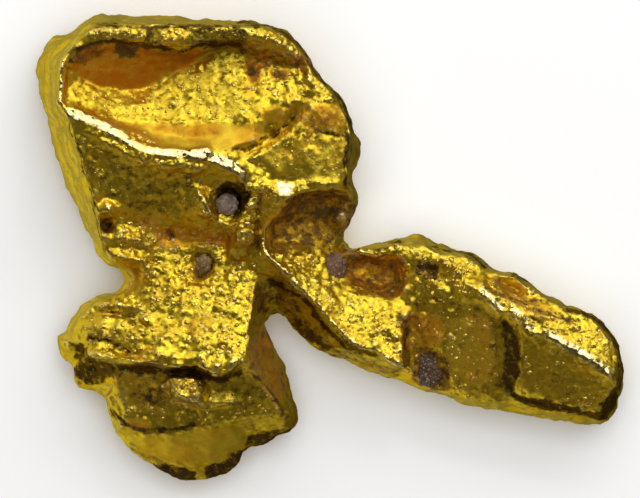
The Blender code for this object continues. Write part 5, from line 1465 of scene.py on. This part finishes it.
def mineral_grain_group():
    """Grain shared by the gold and the matrix: a height, broad blotches, a mottle and fine specks."""
    name = "mineral_grain"
    if name in bpy.data.node_groups:
        return bpy.data.node_groups[name]
    outputs = ("Height", "Blotches", "Mottle", "Specks")
    group = new_group(name, {"Scale": "Float"}, dict.fromkeys(outputs, "Float"))
    wiring = Wiring(group)
    given = wiring.add("NodeGroupInput").outputs["Scale"]
    place = wiring.add("ShaderNodeTexCoord").outputs["Object"]
    wider = wiring.times(given, CELL_RATE)
    cells = wiring.add("ShaderNodeTexVoronoi", {"Vector": place, "Scale": wider}, feature="SMOOTH_F1")
    fine = wiring.noise(place, given, Detail=2.0, Roughness=0.5)
    bumps = wiring.times(wiring.minus(1.0, cells.outputs["Distance"]), 0.5)
    specks = wiring.noise(place, wiring.times(given, SPECK_RATE), Detail=2.0)
    found = {
        "Height": wiring.plus(fine, bumps),
        "Blotches": wiring.noise(place, wiring.times(given, BLOTCH_RATE), Detail=4.0),
        "Mottle": wiring.noise(place, wiring.times(given, MOTTLE_RATE), Detail=5.0, Roughness=0.75),
        "Specks": wiring.ramp(specks, *SPECK_RANGE),
    }
    wiring.add("NodeGroupOutput", found)
    return group


def crystal_facets_group():
    """Small flat crystal faces: a normal that leans another way in each cell, far in only a few."""
    name = "crystal_facets"
    if name in bpy.data.node_groups:
        return bpy.data.node_groups[name]
    group = new_group(name, {"Scale": "Float", "Lean": "Float"}, {"Normal": "Vector"})
    wiring = Wiring(group)
    given = wiring.add("NodeGroupInput").outputs
    place = wiring.add("ShaderNodeTexCoord").outputs["Object"]
    total = wiring.add("ShaderNodeNewGeometry").outputs["Normal"]
    for rate, share in FACETS:
        scale = wiring.times(given["Scale"], rate)
        cells = wiring.add("ShaderNodeTexVoronoi", {"Vector": place, "Scale": scale})
        middle = wiring.vector("SUBTRACT", cells.outputs["Color"], HALF)
        amount = wiring.times(wiring.vector("LENGTH", middle), FACET_LEAN * share)
        lean = wiring.times(given["Lean"], amount)
        total = wiring.vector("ADD", total, wiring.scaled(middle, lean))
    wiring.add("NodeGroupOutput", {"Normal": wiring.vector("NORMALIZE", total)})
    return group


def new_material(name, scale):
    """A material that holds only the mineral grain, at a scale."""
    material = bpy.data.materials.new(name)
    material.use_nodes = True
    material.node_tree.nodes.clear()
    wiring = Wiring(material.node_tree)
    grain = wiring.add("ShaderNodeGroup", node_tree=mineral_grain_group())
    grain.inputs["Scale"].default_value = scale
    return material, wiring, grain.outputs


def close_material(wiring, finish):
    """Adds the shader with its finish, and the output."""
    shader = wiring.add("ShaderNodeBsdfPrincipled", finish)
    wiring.add("ShaderNodeOutputMaterial", {"Surface": shader.outputs["BSDF"]})


def opaque(colour, share=1.0):
    """A colour for a socket, made darker or paler by a share."""
    return (*[share * c for c in colour], 1)


def gold_colour(wiring, grain, mask, sizes):
    """The colour of the gold, with the shares of it that are stained, polished and painted pale as a
    highlight, and dark with dirt and painted shade.
    """
    blotches = wiring.ramp(grain["Blotches"], *BLOTCH_RANGE)
    bare = wiring.mix(blotches, opaque(sizes.colour), opaque(sizes.warm_colour))
    # Worn skin and painted shade on the steep sides.
    side_shaded = wiring.mix(wiring.times(mask["skin_and_side_shade"], SIDE_SHADE_COVER), bare, opaque(sizes.skin_and_side_shade_colour))
    # Stain colour in concave places, partly painted shade.
    hollow_stain_and_shade = wiring.times(mask["hollow_stain_and_shade"], HOLLOW_STAIN_AND_SHADE)
    hollow_shaded = wiring.mix(hollow_stain_and_shade, side_shaded, opaque(sizes.stain_colour))
    mottle = wiring.times(wiring.minus(grain["Mottle"], 0.5), MOTTLE)
    drift = wiring.times(wiring.minus(grain["Blotches"], 0.5), STAIN_DRIFT)
    patchy = wiring.plus(wiring.times(mottle, STAIN_MOTTLE), drift)
    stained = wiring.ramp(wiring.plus(mask["stain"], patchy), *STAIN_RANGE)
    colour = wiring.mix(stained, hollow_shaded, opaque(sizes.stain_colour))
    # Painted highlight: worn edges and polished crests are painted pale.
    polished_and_highlit = wiring.maths("MAXIMUM", wiring.times(mask["worn"], WORN_POLISH_AND_HIGHLIGHT), mask["crest"])
    rubbed_and_highlit = wiring.mix(wiring.times(polished_and_highlit, HIGHLIGHT_PALENESS), colour, opaque(sizes.worn_colour))
    # Dark dirt and painted shade, in creases, pits and on shaded faces.
    dirt_and_shade_share = wiring.ramp(wiring.plus(mask["dirt_and_shade"], mottle), *DIRT_AND_SHADE_RANGE)
    return wiring.mix(dirt_and_shade_share, rubbed_and_highlit, opaque(sizes.dirt_and_shade_colour)), stained, polished_and_highlit, dirt_and_shade_share


def gold_roughness(wiring, grain, mask, polished_and_highlit, dirt_and_shade_share, sizes):
    rough = wiring.plus(wiring.times(grain["Specks"], SPECK_ROUGHNESS), sizes.roughness)
    rough = wiring.plus(rough, wiring.times(mask["smooth"], SMOOTH_ROUGHNESS))
    smoothed = wiring.times(polished_and_highlit, sizes.roughness - POLISHED_ROUGHNESS)
    rough = wiring.minus(rough, smoothed, clamp=True)
    return wiring.plus(rough, wiring.times(dirt_and_shade_share, DIRT_AND_SHADE_ROUGHNESS))


def gold_normal(wiring, grain, mask, sizes):
    """Fine grain over small crystal faces, calmer on smooth faces, on the steep sides with their worn skin
    and painted shade, and on polished crests.
    """
    calm = wiring.maths("MAXIMUM", mask["smooth"], wiring.times(mask["skin_and_side_shade"], SIDE_CALM))
    calm = wiring.maths("MAXIMUM", calm, mask["crest"])
    height = wiring.times(grain["Height"], wiring.minus(1.0, wiring.times(calm, CALM_HEIGHT)))
    lean = wiring.times(wiring.minus(1.0, wiring.times(calm, CALM_FACETS)), sizes.lean)
    facets = wiring.add(
        "ShaderNodeGroup", {"Scale": FACET_SCALE, "Lean": lean}, node_tree=crystal_facets_group()
    )
    bump = wiring.add(
        "ShaderNodeBump",
        {
            "Height": height,
            "Strength": 1.0,
            "Distance": sizes.bump * METRES,
            "Normal": facets.outputs["Normal"],
        },
    )
    return bump.outputs["Normal"]


def gold_material(sizes):
    """Native gold: bare metal, brown-orange stain with painted shade in the hollows and a dull worn skin
    with painted shade on the sides.
    """
    material, wiring, grain = new_material("native_gold", GOLD_GRAIN_SCALE)
    mask = {name: wiring.mask(name) for name in MASKS}
    colour, stained, polished_and_highlit, dirt_and_shade_share = gold_colour(wiring, grain, mask, sizes)
    finish = {
        "Base Color": colour,
        "Roughness": gold_roughness(wiring, grain, mask, polished_and_highlit, dirt_and_shade_share, sizes),
        "Metallic": wiring.minus(1.0, wiring.times(stained, STAIN_DULLNESS)),
        "Specular Tint": opaque(sizes.colour),
        "Normal": gold_normal(wiring, grain, mask, sizes),
    }
    close_material(wiring, finish)
    return material


def matrix_material(name, colour, sizes):
    """Iron-stained mineral: grey-mauve to brown grains with paler specks."""
    material, wiring, grain = new_material(name, MATRIX_GRAIN_SCALE)
    blotches = wiring.ramp(grain["Blotches"], *BLOTCH_RANGE)
    base = wiring.mix(blotches, opaque(colour), opaque(colour, MATRIX_DARK))
    bump = wiring.add(
        "ShaderNodeBump",
        {"Height": grain["Height"], "Strength": MATRIX_STRENGTH, "Distance": MATRIX_BUMP * METRES},
    )
    finish = {
        "Base Color": wiring.mix(grain["Specks"], base, opaque(sizes.fleck_colour)),
        "Roughness": wiring.plus(wiring.times(blotches, BLOTCH_ROUGHNESS), MATRIX_ROUGHNESS),
        "Normal": bump.outputs["Normal"],
    }
    close_material(wiring, finish)
    return material


def floor_material(colour):
    material = bpy.data.materials.new("pale_floor")
    material.use_nodes = True
    shader = material.node_tree.nodes["Principled BSDF"]
    wiring = Wiring(material.node_tree)
    place = wiring.add("ShaderNodeTexCoord").outputs["Object"]
    paler = [min(1.0, c * FLOOR_PALENESS) for c in colour]
    tint = wiring.mix(wiring.noise(place, FLOOR_MOTTLE_SCALE), opaque(colour), opaque(paler))
    material.node_tree.links.new(tint, shader.inputs["Base Color"])
    shader.inputs["Roughness"].default_value = FLOOR_ROUGHNESS
    return material


# ---------------------------------------------------------------------------------------------
# Pieces
# ---------------------------------------------------------------------------------------------
def as_piece(body, material, node):
    """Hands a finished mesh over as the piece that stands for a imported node."""
    body.data.materials.clear()
    body.data.materials.append(material)
    for face in body.data.polygons:
        face.use_smooth = True
    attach(body, "root")
    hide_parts(node)


def cut_flats(body):
    """Wears the underside off level with the table."""
    bpy.ops.mesh.primitive_cube_add(size=1, location=(0, 0, -TABLE_THICKNESS / 2))
    table = bpy.context.object
    table.scale = (2 * LENGTH, 2 * LENGTH, TABLE_THICKNESS)
    finish_modifier(body, "BOOLEAN", operation="DIFFERENCE", solver="MANIFOLD", object=table)
    bpy.data.objects.remove(table, do_unlink=True)


def build_gold(sizes):
    body = surveyed_solid("gold_crystal_skin")
    finish_modifier(body, "REMESH", mode="VOXEL", voxel_size=FINE_CELL)
    finish_modifier(body, "SMOOTH", factor=0.5, iterations=SMOOTHING_STEPS)
    add_relief(body, sizes)
    body.data.calc_loop_triangles()
    ratio = MOST_TRIANGLES / len(body.data.loop_triangles)
    finish_modifier(body, "DECIMATE", ratio=ratio)
    cut_flats(body)
    masks = mark_surface(body)
    body.data.transform(Matrix.Scale(METRES, 4))
    material = gold_material(sizes)
    as_piece(body, material, "gold_crystal")
    build_grains(body, masks, material)


def build_grains(body, masks, material):
    """Fine gold grains fused half into the gold, as one mesh."""
    draw = random.Random(GRAIN_SEED)
    surface = BVHTree.FromObject(body, bpy.context.evaluated_depsgraph_get())
    points, faces = grain_template()
    made, all_faces = [], []
    for grain in grain_places(draw):
        own = settled(grain, points, surface, draw)
        if own is not None:
            first = len(made) * len(points)
            all_faces += [[first + corner for corner in face] for face in faces]
            made.append(own)
    mesh = bpy.data.meshes.new("gold_grains")
    mesh.from_pydata(np.concatenate(made).tolist(), [], all_faces)
    grains = bpy.data.objects.new("gold_grains", mesh)
    bpy.context.scene.collection.objects.link(grains)

    tree = KDTree(len(body.data.vertices))
    for point in body.data.vertices:
        tree.insert(point.co, point.index)
    tree.balance()
    under = np.repeat([tree.find(own.mean(axis=0))[1] for own in made], len(points))
    store_masks(grains, {name: masks[name][under] for name in ("smooth", "stain", "dirt_and_shade")})
    # Every grain is painted a little paler, as a highlight.
    store_masks(grains, {"worn": np.full(len(under), GRAIN_SHINE)})
    as_piece(grains, material, "gold_crystal")
    grains.data.shade_flat()


def build_grain(node, slot, colour, sizes):
    """A grain of matrix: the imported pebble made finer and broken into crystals."""
    packed = frame["nodes"][node]
    grain = packed.copy()
    grain.data = packed.data.copy()
    grain.name = node + "_crust"
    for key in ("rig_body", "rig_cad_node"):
        if key in grain:
            del grain[key]
    grain.parent = None
    bpy.context.scene.collection.objects.link(grain)
    only(grain)
    bpy.ops.object.mode_set(mode="EDIT")
    bpy.ops.mesh.select_all(action="SELECT")
    bpy.ops.mesh.remove_doubles(threshold=SAME_CORNER)
    bpy.ops.object.mode_set(mode="OBJECT")
    finish_modifier(grain, "SUBSURF", levels=CRUST_LEVELS, render_levels=CRUST_LEVELS)
    places = [(point.co.copy(), point.normal.copy()) for point in grain.data.vertices]
    for point, (place, normal) in zip(grain.data.vertices, places):
        distances, _ = noise.voronoi(place / METRES * sizes.crystal_rate)
        lump = min(1.0, distances[1] - distances[0]) - 0.5
        point.co = place + normal * (sizes.crystal_height * METRES * lump)
    as_piece(grain, matrix_material(slot, colour, sizes), node)


def add_light(name, place, aim, size, radiance, seen_in_metal=True):
    """A rectangular softbox of a given brightness, aimed at a point."""
    light = bpy.data.lights.new(name, "AREA")
    light.shape = "RECTANGLE"
    light.size, light.size_y = size
    light.energy = radiance * math.pi * size[0] * size[1]
    lamp = bpy.data.objects.new(name, light)
    bpy.context.scene.collection.objects.link(lamp)
    lamp.location = place
    lamp.rotation_euler = (Vector(aim) - Vector(place)).to_track_quat("-Z", "Y").to_euler()
    lamp.visible_glossy = seen_in_metal


def from_zenith(azimuth, zenith, distance):
    """A point that far off, at degrees clockwise from north (+Y) and degrees down from overhead."""
    turn = math.radians(azimuth)
    lean = math.radians(zenith)
    flat = math.sin(lean) * distance
    return (math.sin(turn) * flat, math.cos(turn) * flat, math.cos(lean) * distance)


def dim_room(sizes):
    """A dim warm room overhead, and paler below the horizon, most of all to the north-west."""
    world = bpy.data.worlds.new("studio")
    world.use_nodes = True
    wiring = Wiring(world.node_tree)
    looking = wiring.add("ShaderNodeTexCoord").outputs["Generated"]
    up = wiring.add("ShaderNodeSeparateXYZ", {"Vector": looking}).outputs["Z"]
    uneven = wiring.ramp(wiring.noise(looking, ROOM_PATCH_SCALE, Detail=1.0), *BLOTCH_RANGE)
    grey_wall = opaque(WHITE, GREY_WALL * sizes.around)
    around = wiring.mix(uneven, opaque(ROOM_TINT, sizes.around), grey_wall)
    streaks = wiring.ramp(wiring.noise(looking, ROOM_STREAK_SCALE, Detail=3.0), *STREAK_RANGE)
    dim, bright = (opaque(ROOM_TINT, shade * sizes.overhead) for shade in CEILING_SHADES)
    ceiling = wiring.mix(streaks, dim, bright)
    above = wiring.mix(wiring.ramp(up, *CEILING_RISE), around, ceiling)
    paler = wiring.ramp(wiring.vector("DOT_PRODUCT", looking, PALE_SIDE), *PALE_RANGE)
    low = wiring.mix(paler, opaque(ROOM_TINT, sizes.low_east), opaque(WHITE, sizes.low_west))
    seen = wiring.mix(wiring.ramp(up, *HORIZON_FALL), above, low)
    wiring.tree.links.new(seen, world.node_tree.nodes["Background"].inputs["Color"])
    return world


def lay_floor(sizes):
    bpy.ops.object.select_all(action="DESELECT")
    bpy.ops.mesh.primitive_plane_add(size=FLOOR_SIZE, location=(0, 0, -FLOOR_DROP))
    floor = bpy.context.object
    floor.name = "floor"
    floor.data.transform(Matrix.Translation(floor.location))
    floor.location = (0, 0, 0)
    floor.data.materials.append(floor_material(sizes.floor_colour))
    floor.visible_glossy = False


def set_lights(sizes):
    bpy.context.scene.world = dim_room(sizes)
    bpy.context.scene.view_settings.view_transform = "Standard"
    for radiance, (name, place) in zip((sizes.key, sizes.core, sizes.lamp), SOFTBOXES.items()):
        *where, size = place
        add_light(name, from_zenith(*where), AIM, size, radiance)
    add_light("floor_wash", (0, 0, WASH_HEIGHT), AIM, WASH_SIZE, sizes.wash, seen_in_metal=False)


def set_camera():
    """Hangs the camera straight over the middle of the frame."""
    camera = bpy.data.cameras.new("camera")
    camera.sensor_width = SENSOR
    camera.lens = LENS
    camera.clip_start = NEAREST_SEEN
    camera.clip_end = FARTHEST_SEEN
    eye = bpy.data.objects.new("camera", camera)
    bpy.context.scene.collection.objects.link(eye)
    width = IMAGE[0] * UNIT * METRES
    east = (IMAGE[0] / 2 - (WEST + EAST) / 2) * UNIT * METRES
    north = ((NORTH + SOUTH) / 2 - IMAGE[1] / 2) * UNIT * METRES
    eye.location = (east, north, width * LENS / SENSOR + GIRDLE_Z * METRES)
    bpy.context.scene.camera = eye


def build_stage(sizes):
    lay_floor(sizes)
    set_lights(sizes)
    set_camera()


# ---------------------------------------------------------------------------------------------
# Add-on
# ---------------------------------------------------------------------------------------------
def colour_property(name, description, default):
    return bpy.props.FloatVectorProperty(
        name=name, description=description, default=default, subtype="COLOR", min=0, max=1, size=3
    )


def number_property(name, description, default, **more):
    return bpy.props.FloatProperty(name=name, description=description, default=default, **more)


class GoldSettings(bpy.types.PropertyGroup):
    lumps: number_property("Lumps", "Height of the worn lumps, in millimetres", 0.022, min=0, max=0.5)
    tilt: number_property("Tilt", "How steeply the worn crystals lean", 0.28, min=0, max=3)
    clumps: number_property(
        "Clumps", "Height of the clumps on broken faces, in millimetres", 0.035, min=0, max=0.5
    )
    grain: number_property(
        "Grain", "Height of the grain on broken faces, in millimetres", 0.01, min=0, max=0.2
    )
    bump: number_property("Fine bump", "Depth of the finest grain, in millimetres", 0.012, min=0, max=0.2)
    lean: number_property("Facet lean", "How far the small crystal faces lean", 0.2, min=0, max=3)
    roughness: number_property("Roughness", "Roughness of bare gold", 0.37, min=0, max=1, subtype="FACTOR")
    colour: colour_property("Gold", "Bare metal", (0.9, 0.68, 0.05))
    warm_colour: colour_property("Warm gold", "Metal in the warmer blotches", (0.86, 0.58, 0.035))
    # The worn skin colour also paints shade on the steep sides.
    skin_and_side_shade_colour: colour_property("Worn skin", "Dull metal on the steep sides", (0.56, 0.51, 0.25))
    # The worn bright colour is a painted highlight on ridges and crests.
    worn_colour: colour_property("Worn bright", "Metal rubbed bright on the ridges", (1.0, 0.9, 0.5))
    stain_colour: colour_property("Stain", "Iron stain in the hollows", (0.5, 0.16, 0.006))
    # The dirt colour also paints shade in creases, pits and on shaded walls.
    dirt_and_shade_colour: colour_property("Dirt", "Dark dirt in creases and pits", (0.13, 0.075, 0.02))


class MatrixSettings(bpy.types.PropertyGroup):
    crystal_rate: number_property("Crystal rate", "Crystals to a millimetre", 4.0, min=0.5, max=30)
    crystal_height: number_property(
        "Crystal height", "Height of the crystals, in millimetres", 0.11, min=0, max=0.3
    )
    mauve: colour_property("Mauve", "Grey-mauve grain in the head", (0.17, 0.12, 0.085))
    ochre: colour_property("Ochre", "Ochre-brown grain in the neck", (0.24, 0.15, 0.04))
    red: colour_property("Red-brown", "Red-brown grain in the recess", (0.22, 0.11, 0.055))
    brown: colour_property("Brown", "Dark brown grain on the arm", (0.09, 0.05, 0.025))
    fleck_colour: colour_property("Flecks", "Pale flecks", (0.26, 0.2, 0.15))


class StageSettings(bpy.types.PropertyGroup):
    floor_colour: colour_property("Floor", "Pale floor", (0.9, 0.91, 0.93))
    overhead: number_property("Overhead", "Brightness straight overhead", 0.037, min=0)
    around: number_property("Around", "Brightness of the room's walls", 0.32, min=0)
    low_west: number_property("Low west", "Brightness below the horizon, to the west", 0.75, min=0)
    low_east: number_property("Low east", "Brightness below the horizon, to the east", 0.06, min=0)
    key: number_property("Softbox", "Brightness of the north softbox", 1.0, min=0)
    core: number_property("Strip", "Brightness of the strip light inside the softbox", 2.4, min=0)
    lamp: number_property("Lamp", "Brightness of the small lamp inside the softbox", 14.0, min=0)
    wash: number_property("Wash", "Brightness of the light on the floor", 2.5, min=0)


class SPECIMEN_OT_gold(bpy.types.Operator):
    """Builds the gold crystal"""

    bl_idname = "specimen.gold"
    bl_label = "Gold crystal"

    def execute(self, context):
        build_gold(context.scene.gold_settings)
        return {"FINISHED"}


class SPECIMEN_OT_matrix(bpy.types.Operator):
    """Builds the grains of matrix in the gold's pits"""

    bl_idname = "specimen.matrix"
    bl_label = "Matrix grains"

    def execute(self, context):
        sizes = context.scene.matrix_settings
        build_grain("matrix_grain_centre", "matrix_centre", sizes.mauve, sizes)
        build_grain("matrix_grain_neck", "matrix_neck", sizes.ochre, sizes)
        build_grain("matrix_grain_east", "matrix_east", sizes.red, sizes)
        build_grain("matrix_grain_arm", "matrix_arm", sizes.brown, sizes)
        return {"FINISHED"}


class SPECIMEN_OT_stage(bpy.types.Operator):
    """Sets out the floor, the lights and the camera"""

    bl_idname = "specimen.stage"
    bl_label = "Stage"

    def execute(self, context):
        build_stage(context.scene.stage_settings)
        return {"FINISHED"}


class SPECIMEN_PT_panel(bpy.types.Panel):
    """Lists the pieces and their settings"""

    bl_idname = "SPECIMEN_PT_panel"
    bl_label = "Gold crystal specimen"
    bl_space_type = "VIEW_3D"
    bl_region_type = "UI"
    bl_category = "Specimen"

    def draw(self, context):
        for operator, group in (
            ("specimen.gold", context.scene.gold_settings),
            ("specimen.matrix", context.scene.matrix_settings),
            ("specimen.stage", context.scene.stage_settings),
        ):
            box = self.layout.box()
            box.operator(operator)
            for name in group.__annotations__:
                box.prop(group, name)


GROUPS = {
    "gold_settings": GoldSettings,
    "matrix_settings": MatrixSettings,
    "stage_settings": StageSettings,
}
CLASSES = (*GROUPS.values(), SPECIMEN_OT_gold, SPECIMEN_OT_matrix, SPECIMEN_OT_stage, SPECIMEN_PT_panel)


def register():
    for item in CLASSES:
        bpy.utils.register_class(item)
    for name, group in GROUPS.items():
        setattr(bpy.types.Scene, name, bpy.props.PointerProperty(type=group))


def unregister():
    for name in GROUPS:
        delattr(bpy.types.Scene, name)
    for item in reversed(CLASSES):
        bpy.utils.unregister_class(item)


def main():
    register()
    bpy.ops.specimen.gold()
    bpy.ops.specimen.matrix()
    bpy.ops.specimen.stage()


if __name__ == "__main__":
    main()
